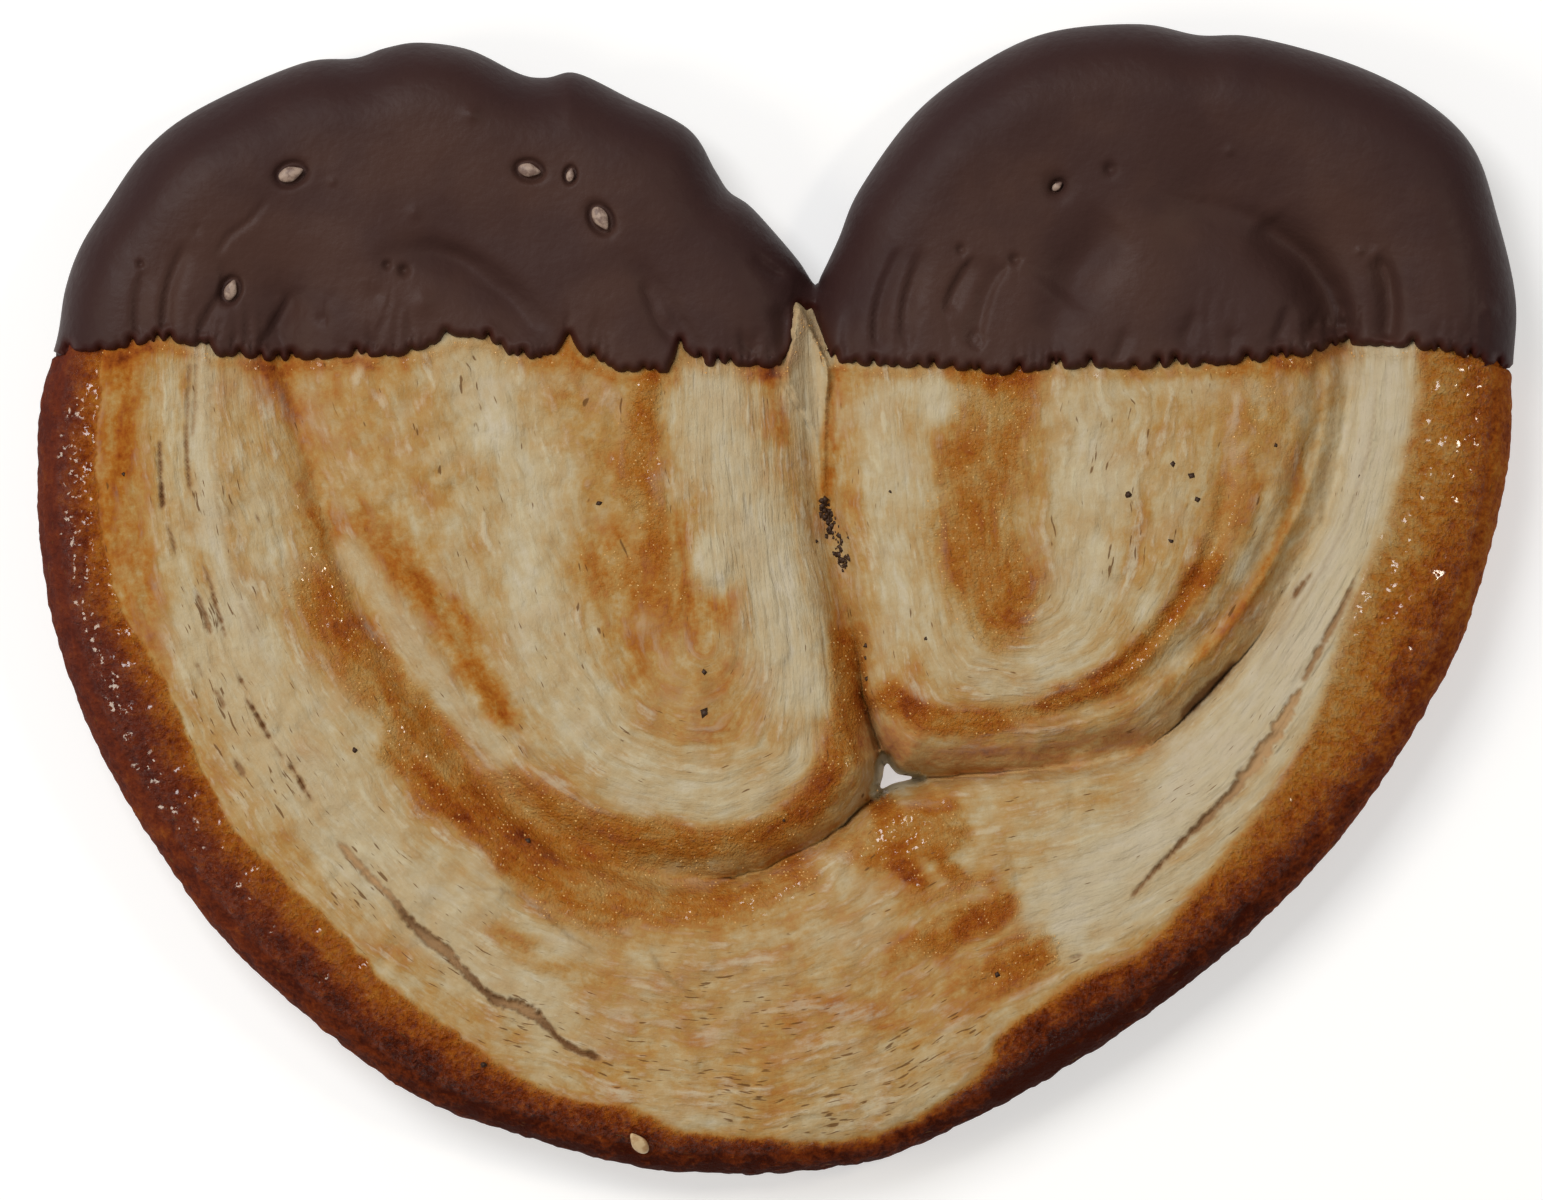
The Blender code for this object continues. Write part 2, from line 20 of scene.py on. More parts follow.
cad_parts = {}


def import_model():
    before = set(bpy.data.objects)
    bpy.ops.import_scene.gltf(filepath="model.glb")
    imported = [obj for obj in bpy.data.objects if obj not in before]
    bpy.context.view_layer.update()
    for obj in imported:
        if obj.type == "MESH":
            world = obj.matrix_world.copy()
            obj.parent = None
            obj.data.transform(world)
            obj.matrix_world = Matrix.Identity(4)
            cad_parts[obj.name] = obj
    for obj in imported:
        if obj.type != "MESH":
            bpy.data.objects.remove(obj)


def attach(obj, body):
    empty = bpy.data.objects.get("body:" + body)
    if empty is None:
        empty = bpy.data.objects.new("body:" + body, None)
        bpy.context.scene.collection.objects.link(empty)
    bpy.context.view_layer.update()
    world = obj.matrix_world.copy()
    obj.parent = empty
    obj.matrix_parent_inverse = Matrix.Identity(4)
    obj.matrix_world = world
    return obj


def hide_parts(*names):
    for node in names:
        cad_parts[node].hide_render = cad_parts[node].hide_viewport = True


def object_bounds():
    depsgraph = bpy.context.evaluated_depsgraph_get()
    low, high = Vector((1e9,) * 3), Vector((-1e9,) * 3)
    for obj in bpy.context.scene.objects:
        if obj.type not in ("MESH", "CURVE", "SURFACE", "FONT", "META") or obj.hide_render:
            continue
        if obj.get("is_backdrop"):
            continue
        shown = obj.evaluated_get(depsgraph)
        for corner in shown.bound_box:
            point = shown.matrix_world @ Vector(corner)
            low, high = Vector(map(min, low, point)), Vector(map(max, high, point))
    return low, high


LOG = logging.getLogger("palmier")
MM = 0.001
# Linear white with its alpha, and the tint of the two side lamps.
WHITE = (1.0, 1.0, 1.0, 1.0)
WARM = (1.0, 0.9, 0.74)
Array = np.ndarray
Points = Sequence[tuple[float, ...]]
Colour = tuple[float, float, float]
Pair = tuple[float, float]

# The heart's outline, anticlockwise from the cleft between the ears.
LEFT_EAR: Points = [
    (4.3, 34), (2.6, 36.5), (-0.1, 39.7), (-2.8, 42.6), (-5, 44.1), (-6.5, 46.4), (-9.3, 50.8),
    (-15.8, 54.2), (-21.5, 56.9), (-24.7, 56.4), (-27.6, 56.8), (-33, 59.4), (-38.4, 60.2), (-42.2, 59.6),
    (-45.5, 58.5), (-51.4, 57.9), (-62.2, 53.1), (-68.1, 48.6), (-72.5, 42.4), (-75.2, 38), (-76.8, 33.5),
    (-77.7, 28.1),
]
LEFT_FLANK: Points = [
    (-79.6, 21.6), (-80, 13.5), (-79.7, 5.9), (-78, -3.8), (-73.9, -15.1), (-67.6, -26.2), (-59.4, -37.3),
    (-49, -46.7),
]
BASE: Points = [
    (-38.4, -54.2), (-26, -58.7), (-14.3, -61.7), (-6, -62.3), (0.4, -62.3), (11, -60.8), (19.4, -57.4),
    (30, -51.8),
]
RIGHT_FLANK: Points = [
    (41, -44.6), (52.2, -35.5), (63.1, -23.6), (73, -7.6), (77.2, 4.3), (79.6, 15.5), (79.8, 24.8),
]
RIGHT_EAR: Points = [
    (80.1, 32.4), (78.2, 41), (75.5, 48.8), (70.1, 54), (62, 58), (51.8, 60.8), (45.8, 61), (39.3, 62.2),
    (29.6, 61.3), (22, 57.8), (15, 52.4), (9.1, 44.3), (6.8, 38.9), (5, 35.1),
]

# The triangular gap, anticlockwise, and the lines in the middle of the two coils.
THROUGH_GAP: Points = [
    (11.6, -16.9), (10.9, -19.3), (10.6, -21.3), (12.8, -20.4), (16.2, -19.4), (13.4, -18.7),
]
LEFT_CORE: Points = [(-9.3, 38), (-9, 16.2), (-7.7, -4.9)]
RIGHT_CORE: Points = [(25.3, 38), (25.3, 10.8), (26.4, 1.1)]
LEFT_COIL_TOP: Points = [
    (-53, 41), (-48, 48.6), (-38.4, 52.9), (-27.6, 52.4), (-16.8, 48.6), (-7.1, 43.2), (0.4, 36.7),
]
RIGHT_COIL_TOP: Points = [(45.8, 45.4), (35, 47.5), (24.2, 46.4), (16.6, 42.1), (9.1, 36.7)]

# The inner border of the dark crust, from the left end of the dip edge round to the right end.
CRUST_LINE: Points = [
    (-72.7, 25.4), (-73, 20.5), (-73.3, 14), (-72.7, 7.6), (-71.1, 0.6), (-68.2, -5.2), (-65, -10.8),
    (-61.7, -18.9), (-57.9, -25.4), (-52.4, -30.7), (-45, -37.9), (-42.1, -41.5), (-35.4, -46),
    (-25.4, -52.8), (-14.7, -55.2), (-11.3, -57.2), (-4, -58), (4.6, -58.7), (12.6, -57.2), (18.7, -54),
    (22.8, -49.9), (24.6, -46.6), (32.6, -41.1), (39.4, -38), (46.9, -29.8), (53, -22), (57.5, -14),
    (60.7, -5), (63.6, 3.2), (65.9, 9), (67.5, 14), (69.1, 20.5), (69.6, 26.5),
]

# The lower edge of the chocolate, left to right. It climbs where the two ears meet.
DIP_EDGE: Points = [
    (-86, 26.3), (-77.7, 26.5), (-70.8, 26.6), (-67.6, 27.3), (-61.7, 27), (-60, 25.9), (-52.5, 25.3),
    (-46.5, 25.9), (-40.6, 25.9), (-37.4, 26.8), (-35, 28.1), (-32, 27.9), (-30.1, 27), (-28.4, 25.5),
    (-24, 25.6), (-22.2, 28), (-20.6, 25.6), (-16.8, 24.3), (-11.4, 24.2), (-10.2, 26.8), (-7.7, 24.9),
    (0.4, 24.7), (2, 26.9), (2.6, 31.4), (3.9, 31.4), (4.6, 29.2), (6, 25.2), (11.2, 24.8), (18.8, 24.6),
    (24.2, 23.9), (30.7, 24.6), (40.4, 24.5), (51.2, 25.1), (56.6, 25.7), (61.5, 27.3), (69.6, 26.7),
    (73.9, 25.9), (79, 24.8), (86, 24.6),
]


@dataclass(frozen=True)
class Fold:
    """A fold as (x, y, depth) points, with the width of its shoulders left and right of its travel."""

    points: Points
    left: float
    right: float


@dataclass(frozen=True)
class Ledge:
    """The torn edge of a thin layer. The dough stands higher on the left of its travel."""

    height: float
    fade: float
    points: Points


@dataclass(frozen=True)
class Bump:
    """A blister, or with a negative height a pit."""

    x: float
    y: float
    radius: float
    height: float


@dataclass(frozen=True)
class Stroke:
    """Where the dough baked alike: how brown, half its width, how much it covers, sugar and dryness."""

    bake: float
    width: float
    cover: float
    glaze: float
    dry: float
    points: Points


@dataclass(frozen=True)
class Seed:
    """One sesame seed: its place, its turn in degrees and how far it stands out of its bed."""

    x: float
    y: float
    turn: float
    proud: float
    size: float = 1.0

    @property
    def heading(self) -> Pair:
        """Which way its tip points in plan."""
        return math.cos(math.radians(self.turn)), math.sin(math.radians(self.turn))


COIL_SEAM = Fold(
    [(4.3, 33.5, 3), (4.4, 27, 2.5), (4.9, 18.4, 2), (5.8, 8.6, 2.4), (7.2, 2.2, 2.6),
     (8.5, -4.3, 3.4), (9.5, -10.8, 4.6), (11.3, -16.2, 7.5)],
    2.8, 4.6,
)
LEFT_COIL_FOLD = Fold(
    [(10.4, -21.7, 7.5), (4.8, -26.2, 4.6), (-3.3, -29.8, 4.4), (-9.3, -30.1, 3), (-14.7, -29.4, 2.1),
     (-21.2, -27, 1.7), (-27.6, -22.9, 1.5), (-33, -17.8, 1.4), (-37.9, -11.3, 1.3),
     (-42.2, -4.9, 1.2), (-46, 3.2, 1.2), (-49, 11.9, 1.2), (-51.4, 19.4, 1.2), (-53, 27, 1),
     (-53.4, 32.4, 0.6)],
    3.4, 5,
)
RIGHT_COIL_FOLD = Fold(
    [(16.6, -19.3, 7.5), (24.2, -18.7, 4.6), (29.6, -18.3, 3.4), (38.2, -16.8, 3), (43.6, -13.4, 4.2),
     (50.1, -6.7, 4), (53.9, -1.1, 3.2), (56.6, 3.5, 2.6), (59, 8.1, 2.3), (60.7, 14, 2.1),
     (61.8, 20.5, 2), (62, 25.9, 2.3), (60.9, 31.3, 2.6), (58.2, 35.6, 2.2), (52.8, 40.2, 1.2),
     (47, 42.5, 0.4)],
    5, 2.2,
)
DEEP_FOLDS = (COIL_SEAM, LEFT_COIL_FOLD, RIGHT_COIL_FOLD)
SOFT_FOLDS = (
    Fold([(-44.4, 8.6, 0.4), (-40.6, 3.2, 1), (-36.3, -3.2, 1.2), (-32.5, -9.7, 1.1), (-28.7, -15.7, 0.9),
        (-23.3, -20.5, 0.4)], 2.6, 3.4),
    Fold([(59, 24.6, 0.8), (59, 18.4, 1), (56.6, 11.9, 1.1), (52.8, 4.3, 1.2), (47.4, -3.2, 1.2),
        (40.4, -8.6, 1), (32.8, -11.9, 0.8), (25.3, -12.4, 0.4)], 2.2, 3.4),
    Fold([(-39.5, 38.8, 0.2), (-34, 37, 1), (-28, 33.2, 1.1), (-23.5, 28.3, 0.6)], 2.4, 3.6),
    Fold([(-15.5, 37, 0.2), (-12.3, 33, 0.9), (-8.5, 27.4, 0.7)], 1.8, 3),
    Fold([(36.5, 41, 0.2), (33, 36, 1), (29.8, 29.2, 0.8)], 4.5, 4.5),
    Fold([(63.6, 40, 0.2), (66, 35, 1), (66.4, 28.8, 0.8)], 2.2, 2.8),
    Fold([(49.2, 17.3, 0.2), (48, 7.6, 0.7), (45.8, 2.7, 0.8), (42.6, -2.2, 0.8), (37.7, -7.3, 0.7),
        (31.8, -10.8, 0.3)], 1.2, 2.2),
)
# Splits that show a layer below, as (x, y, half width, depth, darkness) points. The darkness is painted
# shade in the split.
SPLITS: Sequence[Points] = (
    [(-66.4, 17.3, 0.12, 0.4, 0.7), (-66.3, 14, 0.18, 0.8, 0.9), (-66.1, 10.8, 0.24, 0.9, 0.9),
        (-66.2, 9.4, 0.14, 0.5, 0.8)],
    [(-65.7, 8.2, 0.1, 0.3, 0.7), (-65, 6.5, 0.1, 0.4, 0.7), (-64.7, 4.6, 0.08, 0.3, 0.6)],
    [(-63.1, 25.7, 0.14, 0.4, 0.35), (-63.3, 21.6, 0.12, 0.4, 0.4), (-63.5, 17.3, 0.1, 0.4, 0.5),
        (-63.3, 13.5, 0.16, 0.6, 0.8), (-63, 11.3, 0.1, 0.4, 0.6)],
    [(-62.4, 25.7, 0.12, 0.3, 0.2), (-62.6, 20.5, 0.12, 0.3, 0.2), (-62.9, 17.3, 0.1, 0.3, 0.2)],
    [(-62.5, 1.1, 0.12, 0.4, 0.6), (-61.8, -0.9, 0.25, 0.7, 0.55), (-61.2, -2.7, 0.4, 0.7, 0.35),
        (-60.8, -4, 0.2, 0.5, 0.5)],
    [(-61.9, 4.1, 0.1, 0.4, 0.7), (-60.9, 1.6, 0.13, 0.5, 0.8), (-60.5, -0.2, 0.14, 0.6, 0.8),
        (-59.8, -2.2, 0.14, 0.6, 0.8), (-59.2, -4.3, 0.1, 0.4, 0.7)],
    [(-56.1, 9.5, 0.1, 0.3, 0.7), (-55.5, 7.9, 0.14, 0.4, 0.7)],
    [(-62.6, -6.7, 0.08, 0.3, 0.5), (-61.6, -8.6, 0.1, 0.3, 0.5)],
    [(-60.7, -9.7, 0.12, 0.3, 0.6), (-59.9, -10.6, 0.2, 0.4, 0.5), (-59.4, -12.1, 0.28, 0.4, 0.4)],
    [(-58, -8, 0.2, 0.5, 0.9), (-57.2, -9.5, 0.22, 0.5, 0.9)],
    [(-57.2, -10.6, 0.12, 0.5, 0.8), (-56.3, -11.8, 0.2, 0.7, 0.9), (-55.5, -13.2, 0.24, 0.8, 0.9),
        (-54.8, -14.5, 0.24, 0.8, 0.9), (-54.2, -15.3, 0.1, 0.4, 0.7)],
    [(-54.2, -15.6, 0.08, 0.3, 0.5), (-52.9, -17.3, 0.08, 0.3, 0.5)],
    [(-58.4, -17, 0.2, 0.5, 0.5), (-57.9, -18.1, 0.38, 0.6, 0.45), (-57.1, -19.5, 0.2, 0.5, 0.5)],
    [(-52.6, -17.5, 0.12, 0.5, 0.8), (-51.6, -18.9, 0.2, 0.7, 0.9), (-50.8, -20.5, 0.22, 0.8, 0.9),
        (-49.7, -22, 0.12, 0.5, 0.8)],
    [(-47.4, -26.1, 0.3, 0.5, 0.1), (-46, -27.5, 0.45, 0.6, 0.1), (-44.1, -29.6, 0.5, 0.7, 0.1),
        (-42.1, -31.5, 0.42, 0.7, 0.12), (-40.4, -33.5, 0.36, 0.9, 0.4), (-39.1, -35.2, 0.5, 1.4, 0.45),
        (-37.4, -36.5, 0.7, 1.6, 0.2), (-35.4, -38.1, 0.65, 1.6, 0.2), (-33.7, -40, 0.5, 1.5, 0.25),
        (-32, -41.7, 0.36, 1.3, 0.6), (-30.5, -43, 0.5, 1.5, 0.5), (-28.5, -43.7, 0.75, 1.7, 0.25),
        (-26.6, -44.5, 0.8, 1.7, 0.25), (-24.8, -45.8, 0.45, 1.4, 0.5), (-23.6, -47.1, 0.3, 0.9, 0.8),
        (-22.3, -48.2, 0.35, 0.9, 0.7), (-21, -48.9, 0.3, 0.9, 0.8), (-19.6, -49.3, 0.4, 1, 0.8),
        (-18.6, -49.9, 0.15, 0.7, 0.8)],
    [(49.9, -6.5, 0.1, 0.4, 0.5), (48.6, -8, 0.4, 0.6, 0.5), (46.7, -9.9, 0.6, 0.8, 0.55),
        (44.9, -11.7, 0.5, 0.8, 0.5), (43.6, -13.2, 0.2, 0.5, 0.45)],
    [(58, 3, 0.12, 0.8, 0.5), (56.8, 1.4, 0.3, 1, 0.55), (55.7, -0.2, 0.12, 0.8, 0.5)],
    [(62.6, 2.4, 0.15, 0.4, 0.15), (61.5, -0.2, 0.3, 0.5, 0.25), (59.8, -3.5, 0.3, 0.5, 0.3),
        (58.2, -6.5, 0.3, 0.5, 0.35), (56.8, -9.1, 0.3, 0.5, 0.3)],
    [(56.8, -9.4, 0.3, 0.6, 0.15), (55.1, -12.5, 0.8, 0.8, 0.05), (53.4, -15.3, 0.95, 0.9, 0.05),
        (51.4, -18.1, 0.85, 0.9, 0.05), (49.7, -20.3, 0.7, 1, 0.2), (48, -22.2, 0.55, 1, 0.3),
        (45.8, -24.4, 0.4, 0.9, 0.5), (43.6, -26.5, 0.3, 0.8, 0.6), (40.4, -29.9, 0.22, 0.7, 0.6),
        (38.2, -32.4, 0.12, 0.5, 0.6)],
    [(31.5, -38.9, 0.12, 0.4, 0.7), (33.4, -38.3, 0.15, 0.5, 0.7)],
)
LEDGES = (
    Ledge(0.35, 2, [(59.4, 26), (58.2, 16.2), (55.5, 8.6), (51.7, 2.2), (47.4, -3.2), (41.5, -8.6),
        (33.9, -12.4), (24.2, -14.6)]),
    Ledge(0.3, 1.6, [(61, 25.9), (60, 16.2), (57.7, 7.6), (53.9, 0.5), (49.6, -5.4)]),
    Ledge(0.3, 1.4, [(-60.9, 26.5), (-60.5, 17.3), (-59.6, 8.6), (-57.6, 0), (-55, -6.5)]),
    Ledge(0.3, 3, [(-17.9, -38.4), (-21.7, -36.8), (-25.4, -33.6), (-29.4, -31.6), (-35, -31.8)]),
    Ledge(0.28, 3, [(-3.8, -42.4), (-7.6, -43.2), (-10.8, -41.6), (-13.2, -38.6), (-13.6, -36)]),
    Ledge(0.25, 2.5, [(15.1, -46.6), (10.3, -47.7), (5.4, -50), (-1.1, -51.8), (-9.2, -52.9)]),
    Ledge(0.22, 2.2, [(24.8, -44.3), (19.4, -46.4), (14, -47.5)]),
    Ledge(0.3, 1.8, [(-24.9, 3.7), (-24.2, 6.5), (-24.9, 8.6)]),
    Ledge(0.3, 2.4, [(65.1, 24), (64.4, 17.3), (62.5, 10.8), (59.8, 4.3), (55.5, -2.7), (51.2, -9.7)]),
)
BLISTERS = (
    Bump(-6.8, 3.7, 2.6, 0.35), Bump(-36, 14, 2.4, 0.25), Bump(-31.5, -31, 3.6, 0.3),
    Bump(-9, -38.6, 3.2, 0.3), Bump(33, 20, 3, 0.25), Bump(36.5, 4, 2.2, 0.3), Bump(18, -26, 3, 0.25),
    Bump(24, -30, 2.6, 0.25),
)
# The bare flake that stands up at the head of the seam, as (x, y, half width, height).
TONGUE: Points = [
    (2.4, 32, 0.3, 1.9), (3, 28.6, 1.2, 2.3), (3.4, 24.6, 2.4, 1.9), (4.2, 20.8, 1.5, 1.4),
    (4.8, 18, 0.8, 1), (5.1, 12.5, 0.45, 0.6), (5.3, 8, 0.3, 0),
]

BROWNING: tuple[Stroke, ...] = (
    Stroke(0.56, 2.9, 0.9, 0, 0, [(-71.1, 25.4), (-71.1, 16.2), (-70.8, 8.6), (-69.2, 1.1),
        (-66.7, -4.9)]),
    Stroke(0.63, 0.9, 0.6, 0, 0, [(-70.3, 24.6), (-70, 18.4), (-70.6, 14)]),
    Stroke(0.32, 1.1, 0.8, 0, 0, [(-65.2, 25.4), (-65.1, 13), (-64.6, 4.3), (-63.3, -2.2)]),
    Stroke(0.12, 1, 0.8, 0, 0.8, [(-61.9, 27), (-61.9, 17.3), (-60.9, 8.6), (-58.8, 1.1), (-56.6, -4.9)]),
    Stroke(0.2, 4.1, 0.75, 0, 0.55, [(-59.5, -4.3), (-54.6, -13), (-48.2, -21.6), (-40.6, -30.2),
        (-33, -36.7), (-23.3, -42.1)]),
    Stroke(0.42, 1.6, 0.6, 0, 0, [(-64.4, -10.8), (-59, -20.5), (-52.5, -28.1), (-44.9, -35.6),
        (-36.3, -42.1), (-27.6, -47.5), (-19, -51.3)]),
    Stroke(0.38, 2.4, 0.6, 0, 0.2, [(-58.4, 24.8), (-57.9, 16.2), (-56.3, 7.6), (-53.6, -1.1),
        (-50.3, -8.6)]),
    Stroke(0.63, 2, 0.95, 0.6, 0, [(-53.2, 25.3), (-53, 21.6), (-52.5, 18.4), (-51.6, 13), (-49.8, 6.5)]),
    Stroke(0.3, 2.4, 0.7, 0, 0.1, [(-54.9, 18.4), (-54.4, 10.8), (-53.6, 4.3), (-51.4, -4.3),
        (-47.1, -13), (-40.6, -21.6), (-33, -29.2)]),
    Stroke(0.6, 2.7, 0.95, 1, 0, [(-49.5, 1.1), (-47.6, -2.7), (-45.5, -5.9), (-42.2, -9.7),
        (-38.4, -13.5), (-35.2, -17.8), (-29.8, -23.2), (-23.3, -27), (-16.8, -28.9)]),
    Stroke(0.6, 2.1, 0.9, 1, 0, [(-37.4, -20.5), (-29.8, -24.8), (-24.9, -30.8), (-19, -34),
        (-13.6, -35.1)]),
    Stroke(0.66, 1.2, 0.8, 1, 0, [(-41.6, -16.6), (-36.5, -20.5), (-33.3, -22.4)]),
    Stroke(0.64, 1, 0.7, 1, 0, [(-28.6, -28.6), (-24.8, -31), (-20.8, -32.1)]),
    Stroke(0.56, 1.4, 0.8, 0.5, 0, [(-29.3, -36.2), (-23.3, -39.4), (-16.8, -42.1)]),
    Stroke(0.6, 2.7, 0.85, 0.8, 0, [(-14.7, -32.4), (-6, -32.9), (2.6, -30.8), (10.2, -27),
        (16.6, -24.3)]),
    Stroke(0.64, 1.7, 0.95, 0.3, 0, [(-44.1, 9.2), (-42.2, 6.5), (-40.4, 3.5), (-37.9, 0.5),
        (-35.7, -1.3), (-34.1, -4.3), (-32, -8.6), (-29.8, -12.4)]),
    Stroke(0.33, 1.1, 0.85, 0, 0.6, [(-45.8, 5.4), (-43.6, 2.2), (-40.6, -2.7), (-37.4, -7),
        (-34.1, -11.9), (-29.8, -16.7)]),
    Stroke(0.46, 4.5, 0.6, 0, 0.1, [(-48.2, 22.7), (-46, 17.3), (-42.8, 13), (-38.4, 10.8)]),
    Stroke(0.16, 2.6, 0.8, 0, 0.3, [(-36.3, 27.5), (-33, 27), (-29.8, 24.3)]),
    Stroke(0.2, 3.2, 0.8, 0, 0.3, [(-28.7, 21.6), (-27.1, 16.2), (-26, 8.6), (-24.9, 0), (-22.2, -8.6),
        (-17.9, -15.1), (-10.4, -20), (-3.9, -21.1), (1.5, -17.3), (4.2, -10.8)]),
    Stroke(0.46, 2.2, 0.6, 0, 0, [(-35.7, 14), (-34.1, 13.5)]),
    Stroke(0.5, 4.1, 0.75, 0.5, 0, [(-23.9, 23.2), (-19.5, 19.4), (-17.7, 14)]),
    Stroke(0.6, 1.5, 0.95, 1, 0, [(-13.6, 24.6), (-14.4, 18.4), (-14.7, 14), (-13.4, 9.2), (-12.3, 4.9)]),
    Stroke(0.62, 3.5, 0.85, 0.6, 0, [(-19, 3.8), (-14.7, 1.6), (-9.3, -0.5)]),
    Stroke(0.52, 2.8, 0.7, 0.2, 0, [(-17.9, -4.3), (-14.7, -7)]),
    Stroke(0.6, 1, 0.75, 0.4, 0, [(-11.2, 8.6), (-9.3, 4.3), (-7.9, 0), (-5.8, -1.5), (-3.9, 0.9),
        (-3, 4.1)]),
    Stroke(0.1, 1.6, 0.95, 0, 0.5, [(-7, 4.8), (-6.7, 2.6)]),
    Stroke(0.52, 5.4, 0.9, 0, 0.1, [(-6.9, -8.6), (-5.8, -10.8)]),
    Stroke(0.17, 2.8, 0.8, 0, 0.7, [(-6.6, 22.1), (-4.4, 14), (-1.7, 6.5), (1, -2.2), (1.5, -8.6)]),
    Stroke(0.62, 0.9, 0.8, 0.2, 0, [(-0.4, 24.6), (0.2, 21.6), (1.1, 17.3)]),
    Stroke(0.69, 1.8, 0.9, 1, 0, [(7.5, -4.3), (8, -8.6), (7.8, -13), (6.7, -17.3), (4.2, -21.6),
        (0.4, -24.6), (-3.9, -26.2), (-8.2, -26.8), (-13.6, -25.9)]),
    Stroke(0.58, 1.7, 0.9, 1, 0, [(-13.6, -25.9), (-19, -24.6), (-23.3, -23.2), (-27.6, -20.5)]),
    Stroke(0.5, 1, 0.7, 0, 0, [(5, 10.8), (6, 4.3), (7.1, -2.2)]),
    Stroke(0.52, 1.1, 0.7, 0, 0, [(7.5, 23.8), (8, 16.2), (8.9, 8.6), (9.9, 0)]),
    Stroke(0.66, 0.6, 0.8, 0.3, 0, [(6.7, 24), (6.7, 18.4), (6, 14)]),
    Stroke(0.26, 2.9, 0.85, 0, 0.2, [(12.9, 23.8), (13.4, 16.2), (13.9, 6.5), (15, 0), (17.7, -4.3),
        (23.1, -6.7), (28.5, -7.8)]),
    Stroke(0.61, 4.3, 0.92, 1, 0, [(24.7, 24.3), (22.9, 17.3), (21.5, 10.8), (21.5, 4.3), (24.2, -0.9)]),
    Stroke(0.5, 1.7, 0.7, 0.8, 0, [(20.4, 23.2), (21.5, 19.4)]),
    Stroke(0.22, 3, 0.8, 0, 0.3, [(32.3, 22.7), (33.9, 16.2), (34.5, 8.6), (34.5, 2.2), (31.8, -4.3),
        (28.5, -9.7)]),
    Stroke(0.05, 1.2, 0.8, 0, 0.5, [(34.6, 5.4), (34.7, 2.2)]),
    Stroke(0.06, 0.9, 0.8, 0, 0.3, [(40.4, 0), (40.8, -1.5)]),
    Stroke(0.05, 1.5, 0.85, 0, 0.5, [(17.2, 22.7), (17.5, 21.1)]),
    Stroke(0.35, 3, 0.7, 0.1, 0, [(40.4, 22.7), (42, 16.2), (41.5, 8.6), (39.3, 2.2), (36.1, -4.3)]),
    Stroke(0.66, 1.3, 0.92, 1, 0, [(49.2, 11), (48.2, 7.6), (45.8, 2.7), (42.6, -2.2), (37.7, -7.3),
        (31.8, -10.8), (25.3, -13.2), (17.7, -13.2), (12.3, -10.6)]),
    Stroke(0.5, 1.2, 0.7, 0, 0.3, [(50.1, 10.8), (48.8, 6.5)]),
    Stroke(0.2, 0.9, 0.8, 0, 0.3, [(53.9, 13), (52.5, 7.6), (50.1, 2.7)]),
    Stroke(0.45, 1.7, 0.7, 0.2, 0.1, [(57.7, 23.8), (57.1, 17.3), (55.5, 8.6), (52.3, 1.1), (47.4, -5.4),
        (41.5, -10.8), (35, -13.5), (27.4, -14.9)]),
    Stroke(0.62, 0.5, 0.7, 0, 0, [(56.6, 14), (53.6, 4.3), (48.8, -3.2), (42, -9.7)]),
    Stroke(0.45, 2.8, 0.6, 0.5, 0, [(49, 23.2), (53.1, 22.1), (55.5, 18.4)]),
    Stroke(0.57, 1.4, 0.95, 0, 0.25, [(11.2, -14.9), (16.6, -17), (24.2, -17.5), (30.7, -16.6),
        (38.2, -14.9)]),
    Stroke(0.04, 2.9, 0.95, 0, 1, [(65.8, 25.4), (65.2, 18.4), (63.3, 10.8), (60.9, 4.3), (57.7, -2.2),
        (53.9, -8.6), (49.6, -15.1), (44.7, -20.5), (39.3, -25.9), (33.9, -31.3), (29.6, -35.1)]),
    Stroke(0.16, 1, 0.7, 0, 0.8, [(66.9, 8.6), (64.2, 1.1), (60.4, -6.5), (56.6, -14), (52.3, -20.5),
        (46.9, -27), (40.4, -32.9), (35, -36.7)]),
    Stroke(0.42, 3, 0.8, 0.3, 0.1, [(25.3, -24.3), (30.7, -22.7), (37.2, -21.1)]),
    Stroke(0.64, 1.7, 0.85, 1, 0, [(11.5, -27.2), (15, -26), (19, -25.4)]),
    Stroke(0.72, 1.1, 0.92, 1, 0, [(11.4, -21.6), (12.2, -24.4), (13.8, -28.2), (15.6, -30.6)]),
    Stroke(0.68, 0.8, 0.85, 1, 0, [(15.4, -25.6), (18, -28.6), (20.4, -30.6)]),
    Stroke(0.55, 1, 0.75, 0.8, 0, [(14.3, -32.6), (17.6, -32), (22.6, -30.2)]),
    Stroke(0.7, 1.6, 0.95, 1, 0, [(12.4, -38.7), (16.6, -37.2), (22, -34.8), (24.4, -33.4)]),
    Stroke(0.3, 0.9, 0.7, 0, 0.1, [(20.8, -38.6), (25.4, -36.4), (29, -34)]),
    Stroke(0.69, 2, 1, 1, 0, [(20.2, -42.3), (24.2, -40.6), (28.5, -38.2)]),
    Stroke(0.28, 1.8, 0.75, 0, 0.2, [(6, -29), (8.2, -33.6), (9.4, -37.6)]),
    Stroke(0.43, 3, 0.8, 0, 0.2, [(-14.7, -39.1), (-6, -40.5), (2.6, -36.9), (9.3, -33.7)]),
    Stroke(0.47, 3.7, 0.8, 0, 0.1, [(-19, -43.7), (-8.2, -46.4), (2.6, -44.5), (11.2, -42.1),
        (19.9, -44.5)]),
